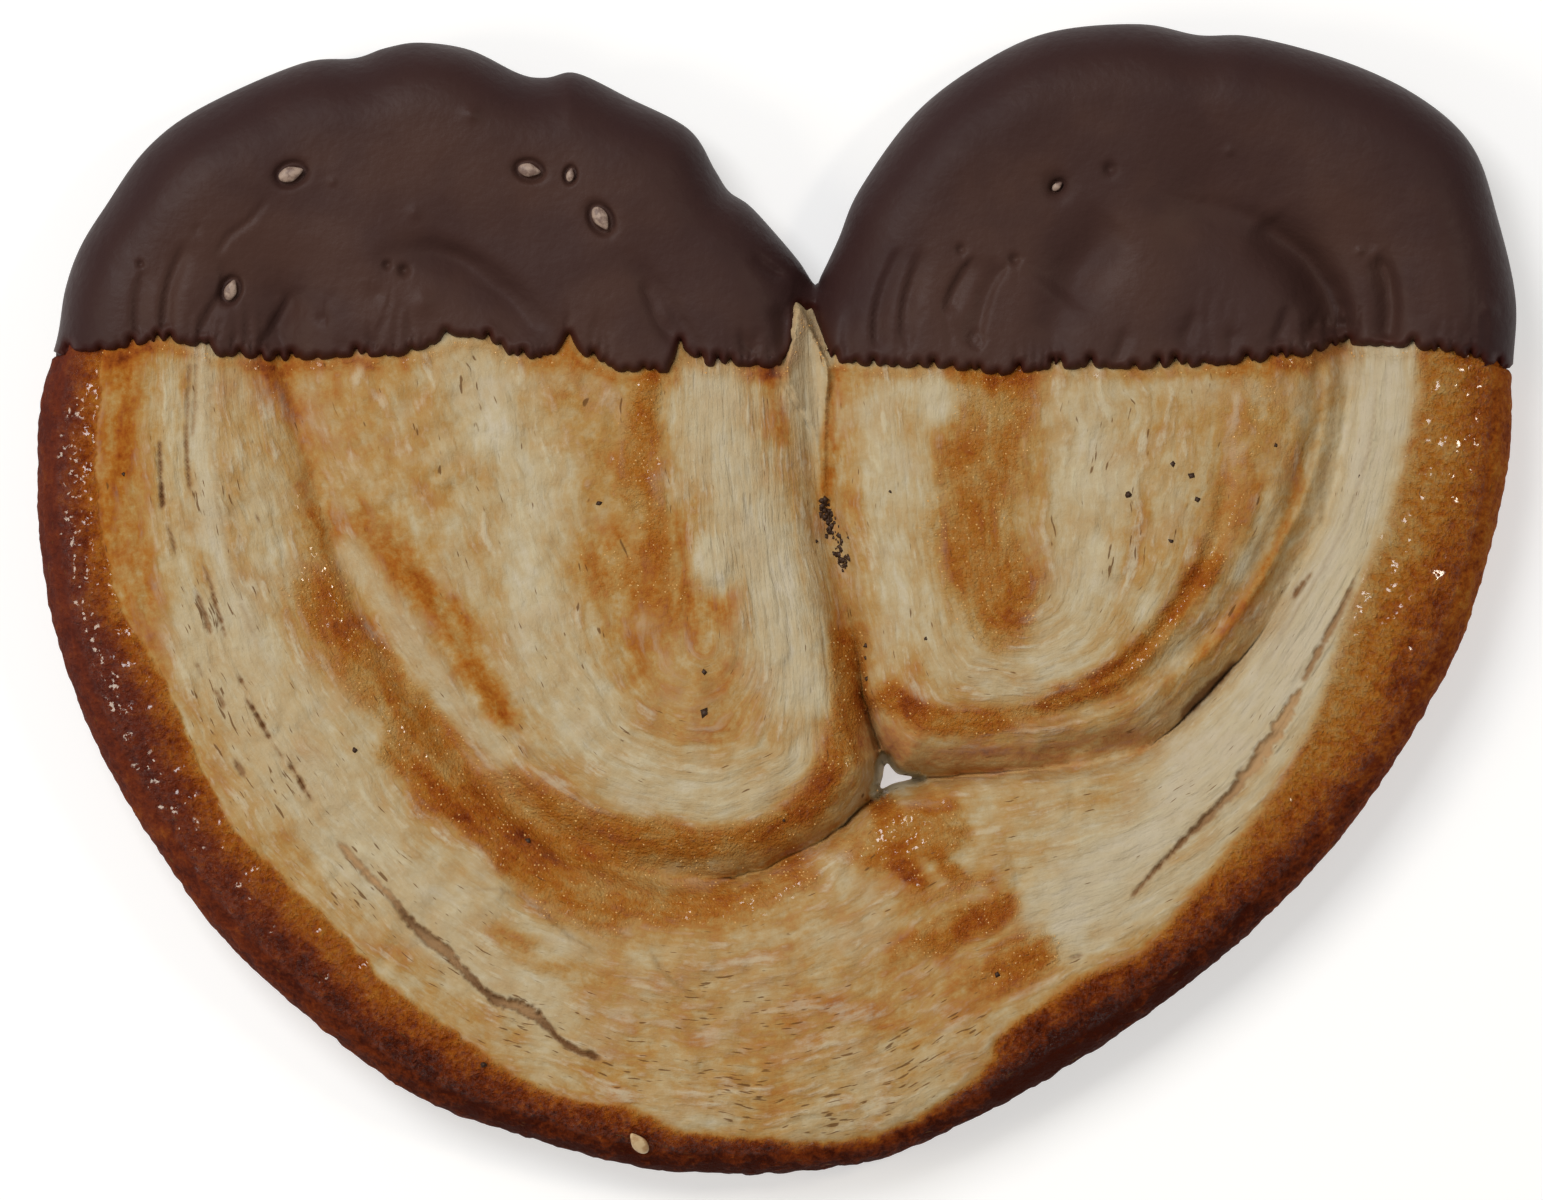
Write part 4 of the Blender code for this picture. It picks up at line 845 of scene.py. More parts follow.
@dataclass
class Relief:
    """The heights of the palmier's surfaces."""

    plan: HeartPlan
    face: float = 13.0
    equator: float = 6.2
    rim_width: float = 8.5
    rim_fullness: float = 2.3
    sag: float = 1.5
    sag_reach: float = 6.0
    gap_depth: float = 8.5
    gap_shoulder: float = 3.2
    coat: float = 1.2
    clearance: float = 0.3
    dip_below: float = 25.5
    fold_step: float = 0.5
    fold_reach: float = 12.0
    wander: float = 0.25
    wander_grain: float = 3.0
    sharp_depths: Pair = (2.6, 4.4)
    swell: float = 0.3
    swell_grain: float = 11.0
    line_step: float = 0.8
    raggedness: float = 0.18
    ragged_grain: float = 1.1
    split_step: float = 0.4
    split_ends: Pair = (-0.5, 2.0)
    split_depth: float = 0.7
    split_width: float = 0.75
    split_wall: float = 0.16
    # The soft edge of the painted shade inside a split, and how much darker its rims are painted.
    split_shade_edge: float = 0.2
    split_rim_shade: float = 0.9
    ledge_rags: float = 1.5
    ledge_ends: Pair = (0.0, 5.0)
    ledge_shade: float = 0.25
    shade_width: float = 0.25
    layer_thickness: float = 1.9
    stair: float = 0.3
    streakiness: float = 0.1
    lumps: float = 0.12
    wrinkle: float = 0.45
    crease_share: float = 0.35
    crease_most: float = 2.0
    waves: Unevenness = Unevenness(11)
    fibres: Unevenness = Unevenness(12)

    @property
    def lift(self) -> float:
        """How far the outside of the chocolate stands over the dough."""
        return self.coat + self.clearance

    @staticmethod
    def cusp(distance: Array, depth: Array | float, width: Array | float) -> Array:
        """Gives the drop beside a fold: a rounded shoulder that ends in a cusp on its line."""
        near = 1 - np.clip(distance / width, 0.0, 1.0)
        return depth * (1 - np.sqrt(1 - near**2))

    def groove(self, fold: Fold, xy: Array) -> tuple[Array, Array]:
        """Measures one fold.

        Args:
            fold: The fold.
            xy: Plan points.

        Returns:
            How far the fold pulls the face down, and how far off its line is.
        """
        line = self.fold_line(fold)
        distance, place, side = line.nearest(xy, self.fold_reach)
        width = np.where(side > 0, fold.left, fold.right)
        depth = line.carried(place, 2)
        sharp = smoothstep(*self.sharp_depths, depth)
        soft = depth * bell(2.0 * distance / width)
        return toward(soft, self.cusp(distance, depth, width), sharp), distance

    def fold_line(self, fold: Fold) -> Line:
        """Draws a fold's line, which wanders a little as torn dough does."""
        line = Line.through(fold.points, self.fold_step)
        points = line.points.copy()
        wander = self.wander * line.ends(np.arange(len(points)), 0.0, 8.0)
        points[:, 0] += wander * self.waves.spread(points[:, :2], self.wander_grain)
        points[:, 1] += wander * self.waves.spread(points[:, :2] + 50.0, self.wander_grain)
        return Line(points)

    def folds(self, xy: Array) -> tuple[Array, Array]:
        """Measures all folds together.

        Args:
            xy: Plan points.

        Returns:
            The drop at each point, and the distance to the nearest deep fold.
        """
        deep = [self.groove(fold, xy) for fold in DEEP_FOLDS]
        drop = np.max([cut for cut, _ in deep], axis=0)
        for fold in SOFT_FOLDS:
            drop = np.maximum(drop, self.groove(fold, xy)[0])
        from_gap = self.plan.gap.nearest(xy, self.fold_reach)[0]
        drop = np.maximum(drop, self.cusp(from_gap, self.gap_depth, self.gap_shoulder))
        return drop, np.min([distance for _, distance in deep], axis=0)

    def top(self, xy: Array, softness: Array | float = 1.0, lift: Array | float = 0.0) -> Array:
        """Gives the height of the top face without its small relief.

        Args:
            xy: Plan points.
            softness: Above 1 the folds are shallower, as under a coat.
            lift: How much higher the face stands, as on a coat.

        Returns:
            Heights.
        """
        inward = 1 - np.clip(self.plan.rim_distance(xy) / self.rim_width, 0.0, 1.0)
        rounding = (1 - inward**self.rim_fullness) ** (1 / self.rim_fullness)
        drop, from_deep = self.folds(xy)
        sag = self.sag * bell(from_deep / self.sag_reach)
        swell = self.swell * self.waves.spread(xy, self.swell_grain, 1)
        face = self.face + lift - sag - drop / softness + swell
        return self.equator + (face - self.equator) * rounding

    def flakes(self, xy: Array, layer: Array) -> Array:
        """Gives the small relief of the dough: splits, torn layers, blisters, the flake and fibres.

        Args:
            xy: Plan points.
            layer: Each point's layer.

        Returns:
            Heights to add to the top face.
        """
        height = np.zeros(len(xy))
        ragged, frayed = self.rags(xy)
        for split in SPLITS:
            outside, line, place, ends = self.by_split(split, xy, frayed)
            wall = smoothstep(self.split_wall, -self.split_wall, outside)
            height -= self.split_depth * line.carried(place, 3) * wall * ends
        for ledge in LEDGES:
            line = Line.through(ledge.points, self.line_step)
            distance, place, side = line.nearest(xy, 4 * ledge.fade)
            distance = distance + ragged * self.ledge_rags
            ends = line.ends(place, *self.ledge_ends)
            raised = ledge.height * np.exp(-np.clip(distance, 0.0, 60.0) / ledge.fade) * ends
            height += np.where(side > 0, raised, 0.0)
        for bump in BLISTERS:
            distance = np.hypot(xy[:, 0] - bump.x, xy[:, 1] - bump.y) / bump.radius
            height += bump.height * (1 - smoothstep(0.5, 1.0, distance + 0.5 * ragged))
        line = Line.through(TONGUE, self.line_step)
        distance, place, _ = line.nearest(xy, 4.0)
        width = line.carried(place, 2) + 0.5 * ragged
        height += line.carried(place, 3) * smoothstep(0.15, -0.25, distance - width)
        return height + self.layers(xy, layer)

    def layers(self, xy: Array, layer: Array) -> Array:
        """Gives the relief of the layers of dough: fibres, steps, lumps and wrinkles.

        Args:
            xy: Plan points.
            layer: Each point's layer.

        Returns:
            Heights to add to the top face, none on the crust.
        """
        bare = 1 - smoothstep(-1.0, 1.0, self.plan.crust(xy)[0])
        streaky = self.fibres.streaks(layer, xy, 1.1, 9.0) + 0.6 * self.fibres.streaks(layer, xy, 0.6, 5.0)
        stairs = layer / self.layer_thickness + 0.6 * self.waves.streaks(layer, xy, 6.0, 9.0)
        steps = patches(STEPPED, xy) * (0.5 - smoothstep(0.0, 0.75, stairs - np.floor(stairs)))
        wrinkles = np.abs(self.waves.spread(xy + 20.0, 5.0))
        wrinkled = smoothstep(-0.1, 0.5, self.waves.level(xy / 14.0, 3.3))
        lumpy = self.lumps * self.waves.spread(xy, 2.2) + self.wrinkle * wrinkles * wrinkled
        return bare * (self.streakiness * streaky + lumpy + self.stair * steps)

    def rags(self, xy: Array) -> tuple[Array, Array]:
        """Gives how ragged torn edges are, in millimetres, and how frayed the splits are."""
        ragged = self.raggedness * self.fibres.spread(xy, self.ragged_grain)
        return ragged, self.fibres.spread(xy, 0.7) + 0.6 * self.fibres.spread(xy + 9.0, 1.9, 1)

    def by_split(self, split: Points, xy: Array, frayed: Array) -> tuple[Array, Line, Array, Array]:
        """Measures where points lie by a split.

        Args:
            split: The split.
            xy: Plan points.
            frayed: How frayed the split would be at each point.

        Returns:
            How far outside it they lie, its line, their places along it, and how open it is there.
        """
        line = Line.through(split, self.split_step)
        distance, place, _ = line.nearest(xy, 3.0)
        ends = line.ends(place, *self.split_ends)
        half = self.split_width * line.carried(place, 2) * (1 + 0.5 * frayed) + 0.08 * frayed - 0.03
        return distance - half * ends, line, place, ends

    def cracks_and_shade(self, xy: Array) -> tuple[Array, Array]:
        """Tells how deep in a split or under a torn edge each point lies.

        Args:
            xy: Plan points.

        Returns:
            Where a lower layer shows, and how strong the painted shade is there, each from 0 to 1.
        """
        dark, floor = np.zeros(len(xy)), np.zeros(len(xy))
        ragged, frayed = self.rags(xy)
        for split in SPLITS:
            outside, line, place, ends = self.by_split(split, xy, frayed)
            inside = smoothstep(self.split_shade_edge, -self.split_shade_edge, outside) * ends
            edge = bell(outside / self.shade_width)
            tone = line.carried(place, 4)
            # Painted shade, dark inside the split and along its rims.
            dark = np.maximum(dark, inside * tone + self.split_rim_shade * edge * ends * tone * (1 - tone))
            floor = np.maximum(floor, inside)
        for ledge in LEDGES:
            line = Line.through(ledge.points, self.line_step)
            distance, place, side = line.nearest(xy, 2.0)
            ends = line.ends(place, *self.ledge_ends)
            foot = bell((ragged - distance * side - 0.15) / self.shade_width)
            dark = np.maximum(dark, self.ledge_shade * ends * foot)
        return floor, np.clip(dark, 0.0, 1.0)

    def underside(self, xy: Array) -> Array:
        """Gives the height of the underside: nearly flat, with the folds as shallow creases."""
        drop, _ = self.folds(xy)
        uneven = self.lumps * (1 + np.clip(self.waves.spread(xy + 40.0, 4.0), -1.0, 1.0))
        return uneven + np.minimum(self.crease_share * drop, self.crease_most)


@dataclass
class ClosedMesh:
    """Grows one closed mesh from loops of points and sheets between them, in millimetres."""

    points: Array = field(default_factory=lambda: np.empty((0, 3)))
    triangles: list[Array] = field(default_factory=list)
    broken_line: float = 1.5
    tolerance: float = 1e-4

    def add(self, xy: Array, z: Array | float) -> Array:
        """Adds points and gives their indices."""
        first = len(self.points)
        new = np.column_stack([xy, np.broadcast_to(z, len(xy))])
        self.points = np.vstack([self.points, new])
        return np.arange(first, first + len(xy))

    def band(self, upper: Array, lower: Array) -> None:
        """Joins two loops with triangles that face away from the middle.

        Args:
            upper: Indices of the upper loop, anticlockwise.
            lower: Indices of the lower loop, in step with it.
        """
        upper_next, lower_next = np.roll(upper, -1), np.roll(lower, -1)
        self.triangles.append(np.column_stack([lower, lower_next, upper_next]))
        self.triangles.append(np.column_stack([lower, upper_next, upper]))

    def sheet(
        self, borders: list[Array], lines: list[Array], fill: Array, hole: Line | None,
        height: Callable[[Array], Array], up: bool,
    ) -> None:
        """Closes the space between border loops.

        Args:
            borders: Index loops, the outer one first.
            lines: Rows of plan points that the triangles have to follow.
            fill: Free plan points.
            hole: What part of the plan stays open.
            height: Gives the heights of new points.
            up: Whether the sheet faces up.
        """
        given = [self.points[border, :2] for border in borders]
        edges = []
        count = 0
        for border in borders:
            edges += [(count + i, count + (i + 1) % len(border)) for i in range(len(border))]
            count += len(border)
        for line in lines:
            close = np.hypot(*np.diff(line, axis=0).T) < self.broken_line
            edges += [(count + i, count + i + 1) for i in np.flatnonzero(close)]
            given.append(line)
            count += len(line)
        plan = np.vstack([*given, fill])
        inside_borders = 1
        flat, _, faces, origins, *_ = geometry.delaunay_2d_cdt(
            [Vector(point) for point in plan], edges, [], inside_borders, self.tolerance
        )
        flat, faces = np.array(flat), np.array(faces)
        if hole is not None:
            faces = faces[~hole.holds(flat[faces].mean(1))]
        corners = flat[faces]
        turn = np.cross(corners[:, 1] - corners[:, 0], corners[:, 2] - corners[:, 0])
        faces[turn < 0] = faces[turn < 0][:, ::-1]
        known = np.concatenate(borders)
        index = np.full(len(flat), -1)
        for made, merged in enumerate(origins):
            first = min(merged, default=len(known))
            if first < len(known):
                index[made] = known[first]
        fresh = np.flatnonzero(index < 0)
        index[fresh] = self.add(flat[fresh], height(flat[fresh]))
        faces = index[faces]
        self.triangles.append(faces if up else faces[:, ::-1])

    def normals(self) -> Array:
        """Works out one unit normal for each point."""
        faces = np.vstack(self.triangles)
        corners = self.points[faces]
        flat = np.cross(corners[:, 1] - corners[:, 0], corners[:, 2] - corners[:, 0])
        normals = np.zeros_like(self.points)
        for i in range(3):
            np.add.at(normals, faces[:, i], flat)
        return normals / np.maximum(np.linalg.norm(normals, axis=1), 1e-12)[:, None]


def make_piece(
    name: str, points: Array, faces: Array, fields: dict[str, Array], look: bpy.types.Material
) -> bpy.types.Object:
    """Makes a smooth mesh object with values on its points.

    Args:
        name: The piece's name.
        points: Points in metres.
        faces: Rows of point indices.
        fields: Values on the points, by name, for the material to read.
        look: The material.

    Returns:
        The object, linked to the scene.
    """
    mesh = bpy.data.meshes.new(name)
    mesh.from_pydata(points.tolist(), [], faces.tolist())
    for label, values in fields.items():
        mesh.attributes.new(label, "FLOAT", "POINT").data.foreach_set("value", values.astype(np.float32))
    mesh.shade_smooth()
    mesh.materials.append(look)
    piece = bpy.data.objects.new(name, mesh)
    bpy.context.collection.objects.link(piece)
    LOG.info("%s: %d points, %d faces", name, len(points), len(faces))
    return piece


def lattice(step: float) -> Array:
    """Spreads a triangular lattice of plan points over the whole heart."""
    half_width, half_length = 82.0, 64.0
    rows = np.arange(-half_length, half_length, step * math.sqrt(3) / 2)
    x, y = np.meshgrid(np.arange(-half_width, half_width, step), rows)
    x[1::2] += step / 2
    return np.column_stack([x.ravel(), y.ravel()])


class Operation(Enum):
    """The sums that a shader's Math node does here."""

    ADD = "ADD"
    SUBTRACT = "SUBTRACT"
    MULTIPLY = "MULTIPLY"


class Mix(IntEnum):
    """The sockets for colours on a Mix node."""

    SHARE = 0
    UNDER = 6
    UPPER = 7
    RESULT = 2


class Wire:
    """An output socket that can be written in sums."""

    def __init__(self, look: "Look", socket: bpy.types.NodeSocket) -> None:
        """Wraps an output socket of a look."""
        self.look = look
        self.socket = socket

    def _sum(self, operation: Operation, first: Any, second: Any) -> "Wire":
        """Adds one Math node."""
        return self.look.node("ShaderNodeMath", 0, {0: first, 1: second}, operation=operation.value)

    def __add__(self, other: Any) -> "Wire":
        """Adds."""
        return self._sum(Operation.ADD, self, other)

    def __radd__(self, other: Any) -> "Wire":
        """Adds to a number."""
        return self._sum(Operation.ADD, other, self)

    def __sub__(self, other: Any) -> "Wire":
        """Subtracts."""
        return self._sum(Operation.SUBTRACT, self, other)

    def __rsub__(self, other: Any) -> "Wire":
        """Subtracts from a number."""
        return self._sum(Operation.SUBTRACT, other, self)

    def __mul__(self, other: Any) -> "Wire":
        """Multiplies."""
        return self._sum(Operation.MULTIPLY, self, other)

    def __rmul__(self, other: Any) -> "Wire":
        """Multiplies a number."""
        return self._sum(Operation.MULTIPLY, other, self)

    def step(self, low: Any, high: Any, start: float = 0.0, end: float = 1.0) -> "Wire":
        """Goes smoothly from start to end as the value goes from low to high.

        Args:
            low: Where the change begins.
            high: Where it ends.
            start: The result below low.
            end: The result above high.

        Returns:
            The new value.
        """
        values = {"Value": self, "From Min": low, "From Max": high, "To Min": start, "To Max": end}
        return self.look.node("ShaderNodeMapRange", "Result", values, interpolation_type="SMOOTHSTEP")


class Look:
    """Builds one material's nodes."""

    def __init__(self, name: str) -> None:
        """Starts a material with an empty Principled shader.

        Args:
            name: The material's name.
        """
        self.material = bpy.data.materials.new(name)
        self.material.use_nodes = True
        self.tree = self.material.node_tree
        self.shader = self.tree.nodes["Principled BSDF"]

    def node(self, kind: str, output: str | int, values: dict[Any, Any], **settings: Any) -> Wire:
        """Adds a node.

        Args:
            kind: Blender's name for the node type.
            output: The output wanted, by name or index.
            values: Numbers or wires for its input sockets, by name or index.
            settings: The node's own settings, which are set first.

        Returns:
            The output.
        """
        node = self.tree.nodes.new(kind)
        for key, setting in settings.items():
            setattr(node, key, setting)
        for key, value in values.items():
            self.feed(node.inputs[key], value)
        return Wire(self, node.outputs[output])

    def feed(self, socket: bpy.types.NodeSocket, value: Any) -> None:
        """Links a wire to a socket, or sets the socket's own value."""
        if isinstance(value, Wire):
            self.tree.links.new(value.socket, socket)
        else:
            socket.default_value = value

    def dress(self, values: dict[str, Any]) -> None:
        """Sets or links the shader's own sockets by name."""
        for key, value in values.items():
            self.feed(self.shader.inputs[key], value)

    def field(self, name: str) -> Wire:
        """Reads a value that the mesh carries on its points."""
        return self.node("ShaderNodeAttribute", "Fac", {}, attribute_name=name)

    def place(self) -> Wire:
        """Gives the place on the piece in metres."""
        return self.node("ShaderNodeTexCoord", "Object", {})

    def streaks(
        self, layer: Wire, grains: Pair, detail: float, roughness: float = 0.5
    ) -> Wire:
        """Adds noise that changes fast across the layers of dough and slowly along them.

        Args:
            layer: The layer value.
            grains: Its grain across the layers and along them, in millimetres.
            detail: How many finer layers it has.
            roughness: How strong those are.

        Returns:
            A value about 0.5.
        """
        across, along = grains
        scale = {0: self.place(), "Scale": 1 / (along * MM)}
        scaled = self.node("ShaderNodeVectorMath", 0, scale, operation="SCALE")
        x = self.node("ShaderNodeSeparateXYZ", "X", {0: scaled})
        y = Wire(self, x.socket.node.outputs["Y"])
        joined = self.node("ShaderNodeCombineXYZ", 0, {"X": layer * (1 / across), "Y": x, "Z": y})
        return self.noise(joined, 1.0, detail, roughness)

    def noise(self, at: Wire, grain: float, detail: float = 2.0, roughness: float = 0.5) -> Wire:
        """Adds noise about 0.5, with a grain in the vector's own unit and some finer layers."""
        values = {"Vector": at, "Scale": 1 / grain, "Detail": detail, "Roughness": roughness}
        return self.node("ShaderNodeTexNoise", "Fac", values)

    def ramp(self, value: Wire, stops: Sequence[tuple[float, Colour]]) -> Wire:
        """Turns a value into a colour.

        Args:
            value: From 0 to 1.
            stops: Places and screen colours along the ramp.

        Returns:
            The colour.
        """
        colour = self.node("ShaderNodeValToRGB", "Color", {"Fac": value})
        elements = colour.socket.node.color_ramp.elements
        while len(elements) < len(stops):
            elements.new(0.5)
        for element, (place, tone) in zip(elements, stops):
            element.position = place
            element.color = srgb(*tone)
        return colour

    def over(self, share: Any, under: Any, upper: Colour) -> Wire:
        """Lays a screen colour over another colour.

        Args:
            share: How much of the upper colour shows.
            under: The lower colour, as a wire or as the value of a socket.
            upper: The upper colour, 0 to 255.

        Returns:
            The mixed colour.
        """
        values = {Mix.SHARE: share, Mix.UNDER: under, Mix.UPPER: srgb(*upper)}
        return self.node("ShaderNodeMix", Mix.RESULT, values, data_type="RGBA")

    def bump(self, height: Wire, depth: float) -> Wire:
        """Adds fine relief to the shading, as deep as depth in millimetres where height is 1."""
        values = {"Strength": 1.0, "Distance": depth * MM, "Height": height}
        return self.node("ShaderNodeBump", 0, values)


@dataclass
class Baking:
    """How brown, sugary and dry the dough is from place to place."""

    plan: HeartPlan
    relief: Relief
    drift: Unevenness = Unevenness(21)
    plain: float = 0.41
    plain_dry: float = 0.08
    stroke_step: float = 1.5
    stroke_narrowing: float = 0.88
    stroke_fade: Pair = (0.2, 1.9)
    stroke_wander: Pair = (0.35, 0.5)
    patch_grain: float = 2.2
    patchiness: float = 0.35
    fringe: float = 0.16
    fringe_glaze: float = 0.5
    fringe_off: float = 0.6
    fringe_width: float = 0.9
    # Painted light: how pale the gap's walls are made, standing for the light seen through the gap.
    gap_painted_light: float = 0.06
    gap_wall: Pair = (0.2, 0.05)
    hem: float = 0.64
    crust_width: float = 5.6
    widening: float = 0.7
    widening_shares: Pair = (0.72, 0.85)
    darkening: float = 1.4
    under_bake: Pair = (0.5, 0.45)
    under_glaze: float = 0.6
    shine_from_rim: Pair = (1.2, 3.6)

    def strokes(self, xy: Array, layer: Array) -> tuple[Array, Array, Array]:
        """Lays the listed strokes over the plain dough.

        Args:
            xy: Plan points.
            layer: Each point's layer.

        Returns:
            How brown, sugary and dry each point is.
        """
        streaky, cloudy = self.stroke_wander
        wander = streaky * self.drift.streaks(layer, xy, 1.4, 7.0)
        wander += cloudy * self.drift.spread(xy, 3.5, 4)
        bake = np.full(len(xy), self.plain)
        glaze = np.zeros(len(xy))
        dry = np.full(len(xy), self.plain_dry)
        for stroke in BROWNING:
            line = Line.through(stroke.points, self.stroke_step)
            distance = line.nearest(xy, 3 * stroke.width + 2.0)[0]
            spread = np.clip(distance / stroke.width, 0.0, 9.0) + wander / math.sqrt(stroke.width)
            fade = smoothstep(*self.stroke_fade, self.stroke_narrowing * spread)
            cover = stroke.cover * (1 - fade)
            bake = toward(bake, stroke.bake, cover)
            glaze = toward(glaze, stroke.glaze, cover)
            dry = toward(dry, stroke.dry, cover)
        return bake, glaze, dry

    def crust(self, xy: Array, patch: Array) -> tuple[Array, Array, Array]:
        """Gives the look of the dark crust.

        Args:
            xy: Plan points.
            patch: The uneven patches there.

        Returns:
            How much of it is crust, how brown that is, and how much plum it has.
        """
        depth, share = self.plan.crust(xy)
        tones = np.array(CRUST_TONES)
        inner, outer, softness, plum = (np.interp(share, tones[:, 0], tones[:, i]) for i in range(1, 5))
        crust = smoothstep(-1.0, 1.0, (depth + self.patchiness * patch) / softness)
        width = self.crust_width * (1 + self.widening * smoothstep(*self.widening_shares, share))
        way_out = smoothstep(0.0, 1.0, (np.maximum(depth, 0.0) / width) ** self.darkening)
        tone = toward(inner, outer, way_out) + 0.04 * patch
        tone = toward(self.hem, tone, smoothstep(-0.2, 1.5, depth + 0.3 * patch))
        return crust, tone, plum * crust * smoothstep(0.8, 4.0, depth)

    def fields(self, xy: Array, under: Array) -> dict[str, Array]:
        """Gives the values that the dough's material reads.

        Args:
            xy: Plan points.
            under: 1 for points of the underside and 0 for the others.

        Returns:
            Values by name.
        """
        layer = self.plan.layer(xy)
        bake, glaze, dry = self.strokes(xy, layer)
        patch = self.drift.spread(xy, self.patch_grain, 3)
        edge = self.plan.dipped(xy) + self.patchiness * patch
        soaked = bell((edge + self.fringe_off) / self.fringe_width)
        bake = bake + self.fringe * soaked
        crust, tone, plum = self.crust(xy, patch)
        bake = toward(bake, tone, crust)
        sugary = toward(np.maximum(glaze, self.fringe_glaze * soaked), 1.0, crust)
        # Painted light: the gap's walls are made pale cream, standing for the bright light seen through the
        # gap.
        gap = self.plan.gap
        wall = np.maximum(smoothstep(*self.gap_wall, gap.nearest(xy, 1.0)[0]), gap.holds(xy))
        bake = toward(bake, self.gap_painted_light, wall)
        raw, browner = self.under_bake
        floor, dark = self.relief.cracks_and_shade(xy)
        shine = sugary * smoothstep(*self.shine_from_rim, self.plan.rim_distance(xy))
        bare, above = 1 - crust, 1 - under
        return {
            "bake": toward(bake, raw + browner * bake, under * (1 - wall)),
            "glaze": toward(sugary, self.under_glaze, under),
            "dry": dry * bare * above,
            "crust": crust,
            "plum": plum,
            "layer": layer,
            # Painted shade in splits and under torn edges.
            "crack_shade": dark * above,
            "floor": floor * above,
            "frayed": patches(FRAYED, xy) * bare * above,
            "shine": shine * above,
        }


@dataclass(kw_only=True)
class HeartBody:
    """Grows a body over the heart's plan: an upper and a lower face with a rounded rim between."""

    name: str
    plan: HeartPlan
    relief: Relief
    step: float
    fine_step: float
    coarse_step: float
    hidden_spacing: float
    hidden_over: Pair
    tucked: float
    tucked_over: Pair
    seen_spacing: float = 0.45
    side_step: float = 0.8
    fill_room: float = 0.55
    crease_room: float = 0.5
    gap_room: float = 0.3
    under_step: float = 0.75
    rim_insets: tuple[float, ...] = (1.35, 0.95, 0.6, 0.32, 0.14, 0.04)
    side: Points = ((0.0, 6.2), (0.3, 3.6), (1.3, 1.3), (3.4, 0.0))
    evening: float = 2.5
    gap_taper: float = 0.6
    rim_room: float = 0.02

    def spacing(self, xy: Array) -> Array:
        """Gives the spacing of the outline's points, wide where the other body hides them."""
        hidden = smoothstep(*self.hidden_over, self.plan.above_dip(xy))
        return toward(self.seen_spacing, self.hidden_spacing, hidden)

    def inset(self, xy: Array, down: float) -> Array:
        """Gives how far the body stays inside the silhouette, at a share of the way down its side."""
        edge = toward(self.plan.dip_edge(xy[:, 0]), self.relief.dip_below, down)
        return self.rim_room + self.tucked * smoothstep(*self.tucked_over, xy[:, 1] - edge)

    def upper(self, xy: Array) -> Array:
        """Gives the height of the upper face."""
        raise NotImplementedError

    def lower(self, xy: Array) -> Array:
        """Gives the height of the lower face."""
        raise NotImplementedError

    def detailed(self, xy: Array) -> Array:
        """Tells where the upper face has small forms that need the fine step."""
        raise NotImplementedError

    def shown(self, xy: Array) -> Array:
        """Tells where the upper face needs more than the coarse step."""
        raise NotImplementedError

    def creases(self) -> list[Array]:
        """Gives the rows of points that the triangles have to follow, of which a soft body has none."""
        return []

    def within(self, xy: Array, inset: float) -> Array:
        """Keeps the points that lie inside the silhouette by an inset and clear of the gap."""
        xy = xy[self.plan.coarse_outline.holds(xy)]
        xy = xy[self.plan.rim_distance(xy) > inset + self.inset(xy, 0.0)]
        return xy[self.plan.gap.nearest(xy, 1.0)[0] > self.gap_room]

    def fill(self) -> Array:
        """Spreads points over the upper face, closer where it has small forms.

        Returns:
            Plan points.
        """
        levels = []
        for step, wanted in ((self.fine_step, 2), (self.step, 1), (self.coarse_step, 0)):
            xy = lattice(step)
            level = np.where(self.shown(xy), 1, 0)
            rows = np.flatnonzero(level)
            level[rows[self.detailed(xy[rows])]] = 2
            levels.append(self.within(xy[level == wanted], self.rim_insets[0] + self.fill_room * step))
        xy = np.vstack(levels)
        for crease in self.creases():
            xy = xy[Line(crease).nearest(xy, 1.0)[0] > self.crease_room * self.fine_step]
        return xy

    def grow(self) -> tuple[ClosedMesh, Array]:
        """Grows the body's mesh.

        Returns:
            The mesh, and for each point whether it belongs to the lower face.
        """
        mesh = ClosedMesh()
        loop = self.plan.outline.spaced(self.spacing)
        inward = loop.inward(self.evening)
        xy = loop.points[:, :2]
        rings = []
        for inset in self.rim_insets:
            ring = xy + inward * (inset + self.inset(xy, 0.0))[:, None]
            rings.append(mesh.add(ring, self.upper(ring)))
        for inset, height in Line.through(self.side, self.side_step).points:
            down = 1 - height / self.side[0][1]
            ring = xy + inward * (inset + self.inset(xy, down))[:, None]
            rings.append(mesh.add(ring, np.maximum(height, self.lower(ring))))
        for above, below in zip(rings, rings[1:]):
            mesh.band(above, below)
        hole = self.plan.gap
        mouth = mesh.add(hole.points, self.upper(hole.points))
        mesh.sheet([rings[0], mouth], self.creases(), self.fill(), hole, self.upper, up=True)
        first_below = len(mesh.points)
        middle = hole.points.mean(0)
        hole = Line(toward(middle, hole.points, self.gap_taper), closed=True)
        foot = mesh.add(hole.points, self.lower(hole.points))
        mesh.band(mouth[::-1], foot[::-1])
        inset = self.side[-1][0] + self.inset(xy, 1.0).max() + 1.0
        bottom = self.within(lattice(self.coarse_step * self.under_step), inset)
        mesh.sheet([rings[-1], foot], [], bottom, hole, self.lower, up=False)
        under = np.zeros(len(mesh.points))
        under[first_below:] = 1.0
        under[rings[-1]] = 1.0
        return mesh, under


